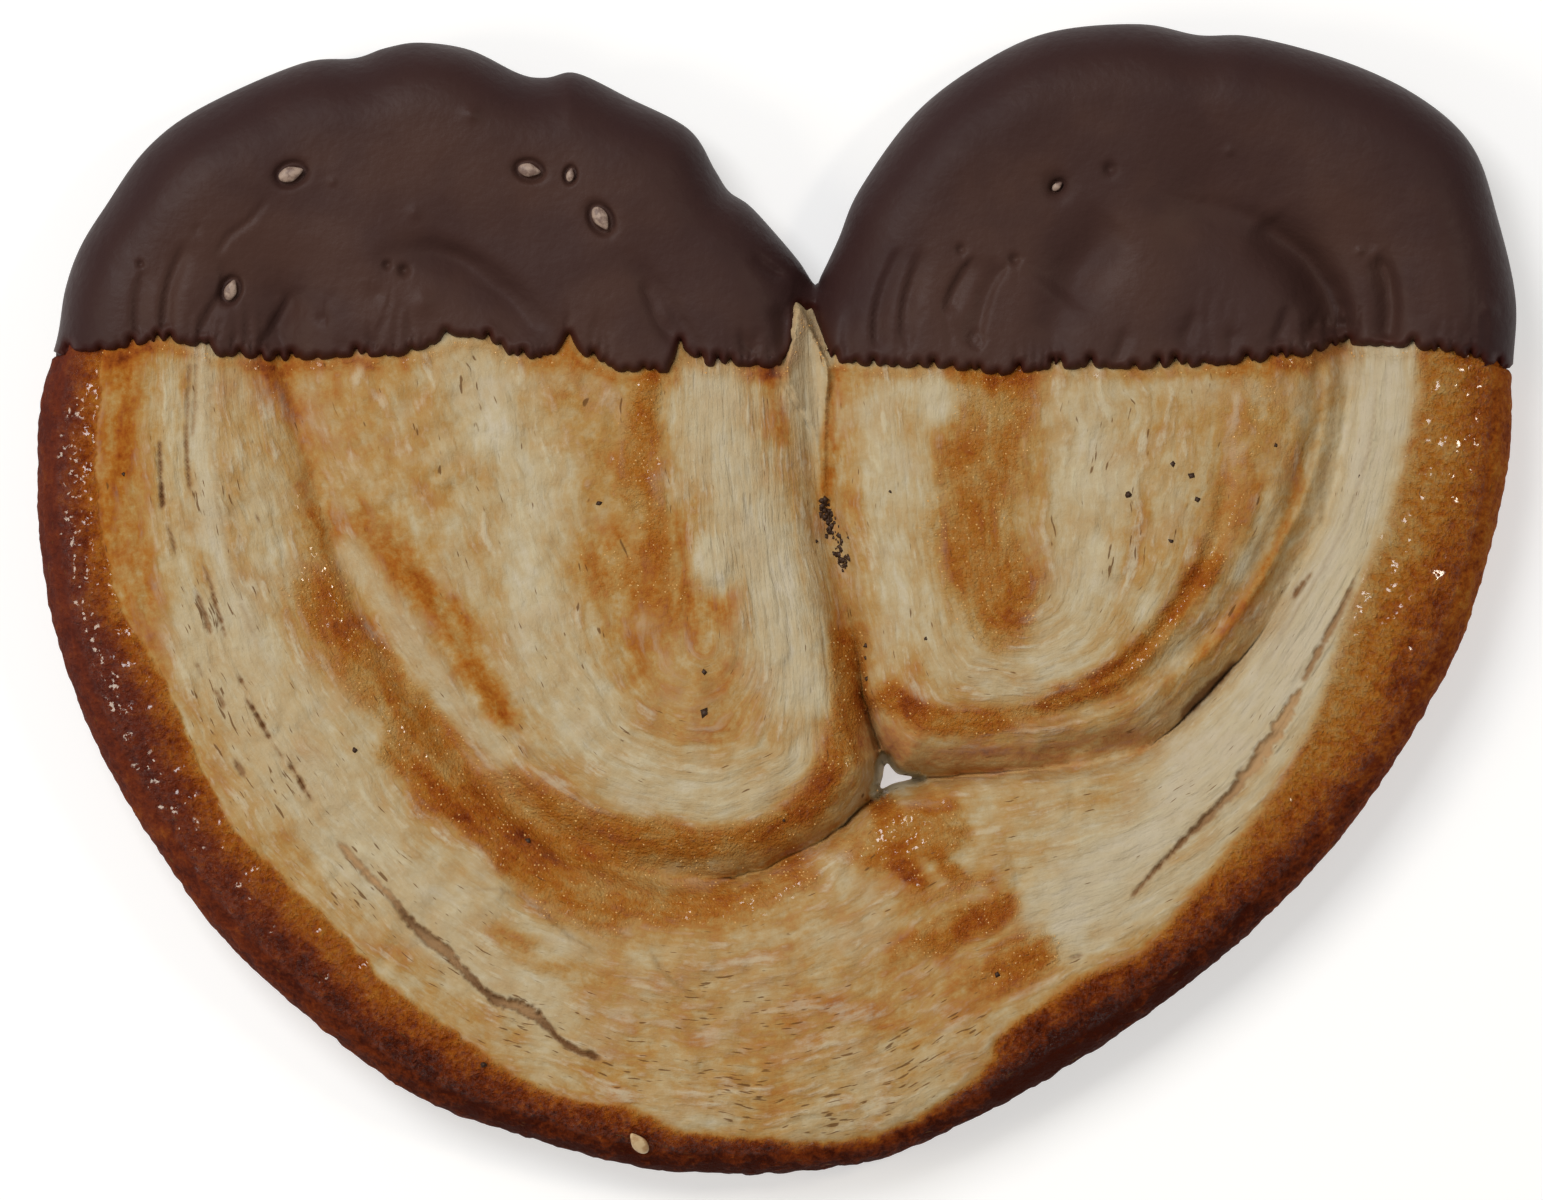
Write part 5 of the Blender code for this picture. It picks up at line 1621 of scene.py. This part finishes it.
@dataclass(kw_only=True)
class Pastry(HeartBody):
    """The baked dough, with its folds, torn layers and crust."""

    name: str = "pastry_dough"
    step: float = 0.42
    fine_step: float = 0.24
    coarse_step: float = 2.2
    hidden_spacing: float = 2.0
    hidden_over: Pair = (1.0, 4.0)
    tucked: float = 1.5
    tucked_over: Pair = (-0.3, 0.6)
    seen_to: float = 1.6
    sinking: float = 1.0
    sinking_over: Pair = (0.6, 2.2)
    pebbles: Unevenness = Unevenness(31)
    pebble_grain: float = 1.9
    grit_grain: float = 0.62
    pebble_depths: Pair = (0.05, 0.32)
    grit_depths: Pair = (0.03, 0.12)
    sugared_from: float = 0.45
    sugared_to: float = 0.3
    sugar_spots: Array = field(default_factory=lambda: np.empty((0, 3)))

    def upper(self, xy: Array) -> Array:
        """Gives the height of the dough's upper face, which sinks where the chocolate covers it."""
        covered = smoothstep(*self.sinking_over, self.plan.above_dip(xy))
        return self.relief.top(xy) + self.relief.flakes(xy, self.plan.layer(xy)) - self.sinking * covered

    def lower(self, xy: Array) -> Array:
        """Gives the height of the underside, raised where the chocolate goes under it."""
        raised = self.relief.lift * smoothstep(0.0, 0.7, xy[:, 1] - self.relief.dip_below)
        return np.maximum(self.relief.underside(xy), raised)

    def shown(self, xy: Array) -> Array:
        """Tells where the dough is bare."""
        return self.plan.above_dip(xy) < self.seen_to

    def detailed(self, xy: Array) -> Array:
        """Tells where splits and the standing flake are."""
        near = Line.through(TONGUE, self.relief.line_step).nearest(xy, 3.0)[0] < 2.8
        for split in SPLITS:
            near |= Line.through(split, self.relief.line_step).nearest(xy, 2.0)[0] < 1.4
        return near

    def creases(self) -> list[Array]:
        """Gives the bottoms of the three deep folds."""
        return [
            self.within(self.relief.fold_line(fold).points[:, :2], self.rim_insets[0] + 0.4)
            for fold in DEEP_FOLDS
        ]

    def build(self, finish: "BakedDough") -> bpy.types.Object:
        """Makes the dough.

        Args:
            finish: Its finish.

        Returns:
            The piece, which stands for the solid pastry.
        """
        mesh, under = self.grow()
        xy = mesh.points[:, :2]
        fields = Baking(self.plan, self.relief).fields(xy, under)
        rough = self.pebbles.at(mesh.points / self.pebble_grain)
        rough += 0.7 * self.pebbles.at(mesh.points / (self.pebble_grain / 2))
        fields["hollow"] = np.clip(0.5 - 0.5 * rough, 0.0, 1.0)
        grit = np.clip(0.5 - 0.5 * self.pebbles.at(mesh.points / self.grit_grain), 0.0, 1.0)
        on_dough, on_crust = self.pebble_depths
        on_dull, on_glassy = self.grit_depths
        sunk = fields["hollow"] * (on_dough + on_crust * fields["crust"])
        sunk += grit * (on_dull + on_glassy * fields["shine"])
        points = mesh.points - mesh.normals() * sunk[:, None]
        points[:, :2] -= self.plan.centre
        piece = make_piece(self.name, points * MM, np.vstack(mesh.triangles), fields, finish.material())
        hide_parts("pastry")
        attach(piece, "root")
        sugared = (fields["glaze"] > self.sugared_from) & (fields["crust"] < self.sugared_to)
        self.sugar_spots = points[(under == 0) & sugared & self.shown(xy)]
        return piece


@dataclass(kw_only=True)
class Coat(HeartBody):
    """The chocolate over the ears, with the grooves of the dough showing softly through it."""

    name: str = "chocolate_coat"
    step: float = 0.45
    fine_step: float = 0.23
    coarse_step: float = 2.6
    hidden_spacing: float = 3.0
    hidden_over: Pair = (-3.0, -6.0)
    tucked: float = 2.5
    tucked_over: Pair = (0.3, -0.2)
    seen_from: float = -3.5
    overlap: float = 2.5
    shell: float = 1.0
    lip_width: float = 1.1
    lip_depth: float = 1.0
    filling: float = 0.4
    runs: Unevenness = Unevenness(41)
    waviness: float = 0.1
    rib_depth: float = 0.8
    rib_grain: Pair = (1.3, 9.0)
    rib_reach: float = 3.5
    groove_ends: Pair = (0.0, 2.5)
    bed_length: float = 1.75
    bed_width: float = 1.25
    bed_ring: Pair = (0.9, 0.34)
    bed_depth: float = 0.7
    mark_depth: float = 0.45
    mark_width: float = 0.22
    fringe_width: float = 0.7
    # How far in from the outline the chocolate's edges are darkened, as painted shade.
    rim_width: float = 12.0

    def upper(self, xy: Array) -> Array:
        """Gives the height of the coat, which starts inside the dough and rounds over to its full lift."""
        into = self.plan.dipped(xy)
        lip = 1 - np.clip(into / self.lip_width, 0.0, 1.0)
        lift = self.relief.lift + self.lip_depth
        softness = 1 + self.filling * smoothstep(0.5, 5.0, into)
        height = self.relief.top(xy, softness, lift * np.sqrt(1 - lip**2) - self.lip_depth)
        return height + self.dents(xy) * smoothstep(0.2, 1.6, into)

    def dents(self, xy: Array) -> Array:
        """Gives the small relief of the coat: soft grooves, pits, bumps and the beds of the seeds.

        Args:
            xy: Plan points.

        Returns:
            Heights to add.
        """
        height = self.waviness * self.runs.spread(xy, 7.0)
        ribs = np.abs(self.runs.level(xy / self.rib_grain, 1.7))
        patchy = smoothstep(-0.2, 0.5, self.runs.spread(xy, 9.0, 1))
        near_edge = patchy * np.exp(-np.clip(self.plan.above_dip(xy), 0.0, 40.0) / self.rib_reach)
        height -= self.rib_depth * (1 - smoothstep(0.0, 0.2, ribs)) * near_edge
        for groove in COAT_GROOVES:
            line = Line.through(groove.points, self.relief.line_step)
            distance, place, side = line.nearest(xy, 3 * max(groove.left, groove.right))
            ends = line.ends(place, *self.groove_ends)
            width = np.where(side > 0, groove.left, groove.right)
            height -= line.carried(place, 2) * bell(distance / width) * ends
        for bump in COAT_BUMPS:
            distance = np.hypot(xy[:, 0] - bump.x, xy[:, 1] - bump.y) / bump.radius
            height += bump.height * bell(distance)
        ring, ring_width = self.bed_ring
        for seed in COAT_SEEDS:
            cos, sin = seed.heading
            away = xy - (seed.x, seed.y)
            along = away @ (cos, sin) / (self.bed_length * seed.size)
            across = away @ (-sin, cos) / (self.bed_width * seed.size)
            height -= self.bed_depth * bell((np.hypot(along, across) - ring) / ring_width)
        off = np.abs(xy - COAT_DIAMOND[:2]).sum(1) - COAT_DIAMOND[2]
        return height - self.mark_depth * bell(off / self.mark_width)

    def lower(self, xy: Array) -> Array:
        """Gives the height of the coat's underside."""
        margin = self.tucked * smoothstep(0.3, -0.5, xy[:, 1] - self.relief.dip_below)
        return np.maximum(self.relief.underside(xy), margin)

    def shown(self, xy: Array) -> Array:
        """Tells where there is chocolate."""
        return self.plan.above_dip(xy) > self.seen_from

    def detailed(self, xy: Array) -> Array:
        """Tells where the ragged edge, the seeds and the pits are."""
        into = self.plan.dipped(xy)
        near = (into > -0.9) & (into < 1.3)
        for spot in (*COAT_SEEDS, *COAT_BUMPS):
            near |= np.hypot(xy[:, 0] - spot.x, xy[:, 1] - spot.y) < 1.9
        return near

    def build(self, finish: "SetChocolate") -> bpy.types.Object:
        """Makes the coat as a closed shell.

        Args:
            finish: Its finish.

        Returns:
            The piece, which stands for the solid chocolate.
        """
        mesh, _ = self.grow()
        faces = np.vstack(mesh.triangles)
        normals = mesh.normals()
        into = self.plan.dipped(mesh.points[:, :2])
        kept = faces[(into[faces] > -self.overlap).all(1)]
        used, kept = np.unique(kept, return_inverse=True)
        kept = kept.reshape(-1, 3)
        outside = mesh.points[used]
        inside = outside - normals[used] * self.shell
        count = len(used)
        edges = np.vstack([kept[:, [0, 1]], kept[:, [1, 2]], kept[:, [2, 0]]])
        known = set(map(tuple, edges.tolist()))
        border = np.array([(a, b) for a, b in known if (b, a) not in known])
        wall = np.vstack([
            np.column_stack([border[:, 1], border[:, 0], border[:, 0] + count]),
            np.column_stack([border[:, 1], border[:, 0] + count, border[:, 1] + count]),
        ])
        points = np.vstack([outside, inside])
        fields = {
            "fringe": bell(np.tile(into[used], 2) / self.fringe_width),
            # Painted shade: the chocolate darkens toward the outline, where it turns away from the light.
            "rim": 1 - smoothstep(0.0, self.rim_width, self.plan.rim_distance(points[:, :2])),
        }
        points[:, :2] -= self.plan.centre
        faces = np.vstack([kept, kept[:, ::-1] + count, wall])
        piece = make_piece(self.name, points * MM, faces, fields, finish.material())
        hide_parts("chocolate")
        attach(piece, "root")
        return piece


@dataclass(frozen=True)
class Sesame:
    """Sesame seeds lying in the crust or in the chocolate."""

    name: str
    slot: str
    seeds: Sequence[Seed]
    body: HeartBody
    length: float = 2.9
    width: float = 1.75
    thickness: float = 0.9
    taper: float = 0.42
    footprint: float = 1.2
    rounds: int = 20
    rows: int = 14

    def one(self, seed: Seed) -> tuple[Array, Array]:
        """Makes one seed: a flat drop, pointed at one end.

        Args:
            seed: Where it lies.

        Returns:
            Its points in millimetres, and its faces.
        """
        polar = np.linspace(0.0, math.pi, self.rows + 1)[1:-1]
        around = np.linspace(0.0, math.tau, self.rounds, endpoint=False)
        t, a = (values.ravel() for values in np.meshgrid(polar, around, indexing="ij"))
        body = np.column_stack([np.cos(t), np.sin(t) * np.cos(a), np.sin(t) * np.sin(a)])
        body = np.vstack([body, [1.0, 0.0, 0.0], [-1.0, 0.0, 0.0]])
        body[:, 1] *= 1 - self.taper * smoothstep(-0.2, 1.0, body[:, 0])
        body *= np.array((self.length, self.width, self.thickness)) / 2 * seed.size
        at = np.array([seed.x, seed.y])
        sides = np.array([(1.0, 0.0), (-1.0, 0.0), (0.0, 1.0), (0.0, -1.0)])
        east, west, north, south = self.body.relief.top(at + self.footprint * sides)
        apart = 2 * self.footprint
        up = np.array([(west - east) / apart, (south - north) / apart, 1.0])
        up /= np.linalg.norm(up)
        ahead = np.array([*seed.heading, 0.0])
        ahead -= up * (ahead @ up)
        ahead /= np.linalg.norm(ahead)
        base = np.array([*at, self.body.upper(at[None])[0]])
        points = base + up * seed.proud + body @ np.array([ahead, np.cross(up, ahead), up])
        ring = np.arange(self.rounds)
        after = np.roll(ring, -1)
        faces = []
        for row in range(self.rows - 2):
            low, high = row * self.rounds, (row + 1) * self.rounds
            faces.append(np.column_stack([low + ring, high + ring, high + after]))
            faces.append(np.column_stack([low + ring, high + after, low + after]))
        last = (self.rows - 2) * self.rounds
        tip, tail = len(body) - 2, len(body) - 1
        faces.append(np.column_stack([np.full(self.rounds, tip), ring, after]))
        faces.append(np.column_stack([last + ring, np.full(self.rounds, tail), last + after]))
        return points, np.vstack(faces)

    def build(self, finish: "SesameHull") -> bpy.types.Object:
        """Makes all the seeds as one piece.

        Args:
            finish: Their finish.

        Returns:
            The piece.
        """
        points, faces = [], []
        for seed in self.seeds:
            new_points, new_faces = self.one(seed)
            faces.append(new_faces + sum(map(len, points)))
            points.append(new_points)
        joined = np.vstack(points)
        joined[:, :2] -= self.body.plan.centre
        piece = make_piece(self.name, joined * MM, np.vstack(faces), {}, finish.material())
        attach(piece, "root")
        return piece


@dataclass(frozen=True)
class Crumbs:
    """Small bits that lie on the dough: grains of sugar, or burnt specks."""

    name: str
    spots: Array
    sizes: Array
    flatness: float
    sunk: float
    seed: int

    def build(self, finish: "SugarGrainGlints | BurntSpeck") -> bpy.types.Object:
        """Makes all the bits as one piece.

        Args:
            finish: Their finish.

        Returns:
            The piece.
        """
        random = np.random.default_rng(self.seed)
        corners = np.array([(1, 0, 0), (-1, 0, 0), (0, 1, 0), (0, -1, 0), (0, 0, 1), (0, 0, -1)], float)
        octahedron = np.array([
            (0, 2, 4), (2, 1, 4), (1, 3, 4), (3, 0, 4), (2, 0, 5), (1, 2, 5), (3, 1, 5), (0, 3, 5),
        ])
        count = len(self.spots)
        spin = np.linalg.qr(random.normal(size=(count, 3, 3)))[0]
        spin[np.linalg.det(spin) < 0] *= -1
        bits = corners * random.uniform(0.7, 1.3, (count, 6, 1)) @ spin
        bits *= self.sizes[:, None, None] / 2 * np.array([1.0, 1.0, self.flatness])
        bits += (self.spots - (0.0, 0.0, self.sunk))[:, None]
        faces = octahedron + 6 * np.arange(count)[:, None, None]
        piece = make_piece(self.name, bits.reshape(-1, 3) * MM, faces.reshape(-1, 3), {}, finish.material())
        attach(piece, "root")
        return piece


@dataclass(frozen=True)
class BakedDough:
    """Baked puff pastry: pale and dry where it tore open, brown and glassy where sugar melted."""

    fibre_strengths: Pair = (0.12, 0.48)
    fibre_grains: Pair = (0.9, 4.2)
    band_strength: float = 0.36
    band_grains: Pair = (1.9, 10.0)
    blotch_grain: float = 3.0
    blotch_grains: Pair = (2.0, 7.0)
    mottle_strength: float = 0.5
    mottle_grain: float = 0.8
    mottle_roughness: float = 0.3
    pebble_grain: float = 0.6
    drift_grain: float = 8.0
    drift_layers: float = 2.0
    calm_crust: float = 0.8
    hollow_strength: float = 0.16
    crag_strength: float = 0.38
    sugar_grain: float = 0.45
    pale_bake: Pair = (0.62, 0.36)
    blush_bake: Pair = (0.62, 0.45)
    blush_strength: float = 0.22
    blush_colour: Colour = (178, 152, 124)
    wisp_range: Pair = (-0.02, 0.42)
    wisp_strength: float = 0.75
    cream: Colour = (207, 198, 168)
    dry_colour: Colour = (192, 177, 149)
    plum_colour: Colour = (94, 44, 37)
    slit_grains: Pair = (0.3, 2.2)
    slit_range: Pair = (0.72, 0.79)
    slit_shade_strength: float = 0.8
    slit_shade_colour: Colour = (104, 68, 34)
    floor_colour: Colour = (182, 148, 108)
    crack_shade_colour: Colour = (96, 56, 24)
    shine: Colour = (255, 238, 208)
    gloss_range: Pair = (0.25, 0.8)
    dull: float = 0.85
    glassy: float = 0.16
    ior: float = 1.48
    specular: float = 0.08
    sugar_roughness: float = 0.1
    sugar_ior: float = 1.55
    relief: float = 0.27

    def material(self) -> bpy.types.Material:
        """Builds the material."""
        look = Look("baked_dough")
        bake, glaze, crust = look.field("bake"), look.field("glaze"), look.field("crust")
        place = look.place()
        drift = look.noise(place, self.drift_grain * MM) - 0.5
        layer = look.field("layer") + drift * self.drift_layers
        bare = 1 - crust
        pale = bake.step(*self.pale_bake) * bare
        fibres = look.streaks(layer, self.fibre_grains, 4.0, 0.6) - 0.5
        bands = look.streaks(layer, self.band_grains, 3.0) - 0.5
        blotches = look.noise(place, self.blotch_grain * MM, 4.0, 0.6) * 0.5 - 0.5
        blotches = blotches + look.streaks(layer, self.blotch_grains, 3.0, 0.6) * 0.5
        mottles = look.noise(place, self.mottle_grain * MM, 3.0, 0.65) - 0.5
        pebbles = look.noise(place, self.pebble_grain * MM, 3.0, 0.6)
        on_brown, on_pale = self.fibre_strengths
        torn = fibres * (on_brown + pale * on_pale) + bands * self.band_strength
        torn = torn * (1 - crust * self.calm_crust)
        grainy = mottles * self.mottle_strength * (1 - pale * 0.65) * (1 - glaze * 0.4)
        mixed = drift * 0.4 + blotches * ((1 - crust * 0.7) * (1 - glaze * 0.35)) + grainy
        crags = (look.field("hollow") - 0.5) * self.hollow_strength + (0.5 - pebbles) * self.crag_strength
        colour = look.ramp(bake + torn + (mixed * (1 - crust * 0.5) + crags * crust), BROWN_TONES)
        blush = look.noise(place, 6.5 * MM, 4.0, 0.6).step(0.5, 0.66) * bake.step(*self.blush_bake) * bare
        wisps = (fibres * 1.5 + bands + mottles * 0.5 + blotches * 0.4).step(*self.wisp_range) * pale
        slits = look.streaks(layer, self.slit_grains, 1.0) + look.field("frayed") * 0.13
        coats = (
            (blush * self.blush_strength, self.blush_colour),
            (wisps * self.wisp_strength, self.cream),
            (look.field("dry") * (0.6 + blotches * 0.8), self.dry_colour),
            (look.field("plum") * (0.55 + blotches * 0.6), self.plum_colour),
            # Painted shade: dark dashes for the shade in fine slits between the layers.
            (slits.step(*self.slit_range) * self.slit_shade_strength, self.slit_shade_colour),
            (look.field("floor"), self.floor_colour),
            # Painted shade in splits and under torn edges.
            (look.field("crack_shade"), self.crack_shade_colour),
        )
        for share, upper in coats:
            colour = look.over(share, colour, upper)
        gloss = (look.field("shine") + blotches * 1.2).step(*self.gloss_range)
        grains = look.noise(place, 0.3 * MM, 2.0, 0.6)
        rough = mottles * 0.4 + pebbles * (0.2 + glaze * 0.6 + crust * 0.8) + grains * gloss * 0.7
        glints = look.noise(place, self.sugar_grain * MM).step(0.6 - crust * 0.08, 0.66 - crust * 0.07)
        look.dress({
            "Base Color": colour,
            "Roughness": self.dull - gloss * (self.dull - self.glassy) + mottles * self.mottle_roughness,
            "Normal": look.bump((fibres + bands) * pale * 1.1 + rough, self.relief),
            "IOR": self.ior,
            "Specular IOR Level": self.specular,
            "Specular Tint": srgb(*self.shine),
            "Coat Weight": gloss * glints,
            "Coat Roughness": self.sugar_roughness,
            "Coat IOR": self.sugar_ior,
        })
        return look.material


@dataclass(frozen=True)
class SetChocolate:
    """Dark chocolate that has set with a satin skin."""

    brown: Colour = (72, 49, 42)
    # A purple-brown for the chocolate's clouds, and the colour of the painted shade on its edges.
    purple_and_rim_shade: Colour = (49, 30, 31)
    fringe: Colour = (62, 17, 9)
    cloud_grain: float = 14.0
    cloudiness: float = 0.45
    rim_shade_strength: float = 0.85
    fringe_strength: float = 0.8
    grain: float = 0.9
    swell_grain: float = 3.0
    relief: float = 0.07
    roughness: float = 0.5
    specular: float = 0.15
    ior: float = 1.45

    def material(self) -> bpy.types.Material:
        """Builds the material."""
        look = Look("set_chocolate")
        place = look.place()
        clouds = look.noise(place, self.cloud_grain * MM, 3.0).step(0.38, 0.62)
        grains = look.noise(place, self.grain * MM)
        colour = look.over(clouds * self.cloudiness, srgb(*self.brown), self.purple_and_rim_shade)
        # Painted shade: the edges of the chocolate are darkened toward purple.
        colour = look.over(look.field("rim") * self.rim_shade_strength, colour, self.purple_and_rim_shade)
        colour = look.over(look.field("fringe") * self.fringe_strength, colour, self.fringe)
        look.dress({
            "Base Color": colour,
            "Roughness": self.roughness + (clouds - 0.5) * 0.08 + (grains - 0.5) * 0.12,
            "Specular IOR Level": self.specular,
            "Normal": look.bump(grains + look.noise(place, self.swell_grain * MM, 3.0), self.relief),
            "IOR": self.ior,
        })
        return look.material


@dataclass(frozen=True)
class SesameHull:
    """The pale hull of a sesame seed."""

    name: str
    light: Colour
    dark: Colour
    spot_grain: float = 0.8
    grain: float = 0.4
    relief: float = 0.04
    roughness: float = 0.5

    def material(self) -> bpy.types.Material:
        """Builds the material."""
        look = Look(self.name)
        place = look.place()
        spots = look.noise(place, self.spot_grain * MM, 3.0).step(0.4, 0.65)
        look.dress({
            "Base Color": look.over(spots, srgb(*self.light), self.dark),
            "Roughness": self.roughness,
            "Normal": look.bump(look.noise(place, self.grain * MM), self.relief),
        })
        return look.material


@dataclass(frozen=True)
class SugarGrainGlints:
    """Grains of sugar that melted to amber glass, coloured bright so they also show as painted glints."""

    # A bright amber, so that the grains show as painted glints as well as sugar.
    colour: Colour = (222, 172, 104)
    roughness: float = 0.12
    ior: float = 1.5

    def material(self) -> bpy.types.Material:
        """Builds the material."""
        look = Look("sugar_grains_and_glints")
        look.dress({"Base Color": srgb(*self.colour), "Roughness": self.roughness, "IOR": self.ior})
        return look.material


@dataclass(frozen=True)
class BurntSpeck:
    """A charred bit of dough or sugar."""

    colour: Colour = (62, 38, 20)
    roughness: float = 0.6

    def material(self) -> bpy.types.Material:
        """Builds the material."""
        look = Look("burnt_speck")
        look.dress({"Base Color": srgb(*self.colour), "Roughness": self.roughness})
        return look.material


@dataclass(frozen=True)
class Paper:
    """The plain white ground that the palmier lies on."""

    colour: Colour = (206, 206, 206)
    roughness: float = 0.9
    ior: float = 1.2
    glow: float = 0.5

    def material(self) -> bpy.types.Material:
        """Builds the material."""
        look = Look("paper")
        look.dress({
            "Base Color": srgb(*self.colour),
            "Roughness": self.roughness,
            "IOR": self.ior,
            "Emission Color": WHITE,
            "Emission Strength": self.glow,
        })
        return look.material


@dataclass(frozen=True)
class Softbox:
    """One square studio light."""

    name: str
    place: tuple[float, float, float]
    size: float
    power: float
    tint: Colour = (1.0, 1.0, 1.0)

    def build(self) -> None:
        """Hangs the light and aims it at the palmier."""
        data = bpy.data.lights.new(self.name, "AREA")
        data.shape = "SQUARE"
        data.size = self.size
        data.energy = self.power
        data.color = self.tint
        lamp = bpy.data.objects.new(self.name, data)
        lamp.location = self.place
        lamp.rotation_euler = Vector(self.place).to_track_quat("Z", "Y").to_euler()
        bpy.context.collection.objects.link(lamp)


@dataclass(frozen=True)
class Studio:
    """The camera straight above, the ground and the soft light."""

    view_width: float = 166.6
    view_middle: Pair = (-0.49, 0.0)
    face_height: float = 10.0
    lens: float = 500.0
    sensor: float = 36.0
    farthest: float = 10.0
    ground: float = 3.0
    sky: float = 0.2
    softboxes: tuple[Softbox, ...] = (
        Softbox("overhead_softbox", (-0.4, 0.45, 1.0), size=0.5, power=7.3),
        Softbox("left_lamp", (-0.74, -0.12, 0.62), size=0.28, power=2.3, tint=WARM),
        Softbox("right_lamp", (0.62, 0.2, 0.85), size=0.14, power=1.7, tint=WARM),
    )

    def build(self) -> None:
        """Sets up the studio."""
        view = bpy.data.cameras.new("camera")
        view.lens = self.lens
        view.sensor_width = self.sensor
        camera = bpy.data.objects.new("camera", view)
        distance = self.view_width * self.lens / self.sensor
        view.clip_end = self.farthest
        camera.location = Vector((*self.view_middle, distance + self.face_height)) * MM
        bpy.context.collection.objects.link(camera)
        bpy.context.scene.camera = camera
        for softbox in self.softboxes:
            softbox.build()
        square = np.array([(-1.0, -1.0, 0.0), (1.0, -1.0, 0.0), (1.0, 1.0, 0.0), (-1.0, 1.0, 0.0)])
        corners = self.ground / 2 * square
        floor = make_piece("ground", corners, np.array([(0, 1, 2, 3)]), {}, Paper().material())
        floor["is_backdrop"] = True
        world = bpy.data.worlds.new("studio_air")
        world.use_nodes = True
        air = world.node_tree.nodes["Background"]
        air.inputs["Color"].default_value = WHITE
        air.inputs["Strength"].default_value = self.sky
        bpy.context.scene.world = world
        bpy.context.scene.view_settings.view_transform = "Standard"


def sugar_grains(pastry: Pastry, count: int, seed: int) -> Crumbs:
    """Scatters grains of sugar over the glazed dough, whose bright colour also paints glints.

    Args:
        pastry: The dough, already built.
        count: How many grains.
        seed: Which random draw.

    Returns:
        The grains.
    """
    random = np.random.default_rng(seed)
    spots = pastry.sugar_spots[random.integers(len(pastry.sugar_spots), size=count)]
    sizes = random.uniform(0.14, 0.36, count)
    return Crumbs("sugar_grains", spots, sizes, flatness=0.8, sunk=0.06, seed=seed)


def burnt_specks(pastry: Pastry, count: int, seed: int) -> Crumbs:
    """Puts the burnt specks on the dough.

    Args:
        pastry: The dough.
        count: How many flakes the smudge on the seam has.
        seed: Which random draw.

    Returns:
        The specks.
    """
    draw = np.random.default_rng(seed)
    middle = draw.choice(Line.through(SMUDGE, 0.05).points, count)
    aside = draw.normal(0.0, 0.6, (count, 2)) * middle[:, 2:]
    flakes = np.column_stack([middle[:, :2] + aside, draw.uniform(0.35, 0.95, count)])
    specks = np.vstack([np.array(SPECKS) * (1.0, 1.0, 1.8), flakes])
    z = pastry.upper(specks[:, :2])
    spots = np.column_stack([specks[:, :2] - pastry.plan.centre, z])
    return Crumbs("burnt_specks", spots, specks[:, 2], flatness=0.3, sunk=0.05, seed=seed)


def main() -> None:
    """Builds the palmier and its studio, puts the CAD's box beside the visual model's and logs the latter.
    """
    logging.basicConfig(level=logging.INFO, format="%(name)s: %(message)s")
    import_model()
    solid_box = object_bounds()
    plan = HeartPlan()
    relief = Relief(plan)
    pastry = Pastry(plan=plan, relief=relief)
    coat = Coat(plan=plan, relief=relief)
    pastry.build(BakedDough())
    coat.build(SetChocolate())
    bare_hull = SesameHull("bare_sesame", light=(210, 182, 140), dark=(176, 136, 92))
    coated_hull = SesameHull("coated_sesame", light=(164, 141, 126), dark=(116, 92, 82))
    Sesame("crust_seed", "pastry", (CRUST_SEED,), pastry).build(bare_hull)
    Sesame("coated_seeds", "chocolate", COAT_SEEDS, coat).build(coated_hull)
    sugar_grains(pastry, count=2600, seed=51).build(SugarGrainGlints())
    burnt_specks(pastry, count=85, seed=52).build(BurntSpeck())
    Studio().build()
    boxes = {
        "cad": [list(corner) for corner in solid_box],
        "visual": [list(corner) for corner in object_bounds()],
    }
    rounded = [[round(value / MM, 1) for value in corner] for corner in boxes["visual"]]
    LOG.info("visual box in mm: %s", rounded)


if __name__ == "__main__":
    main()
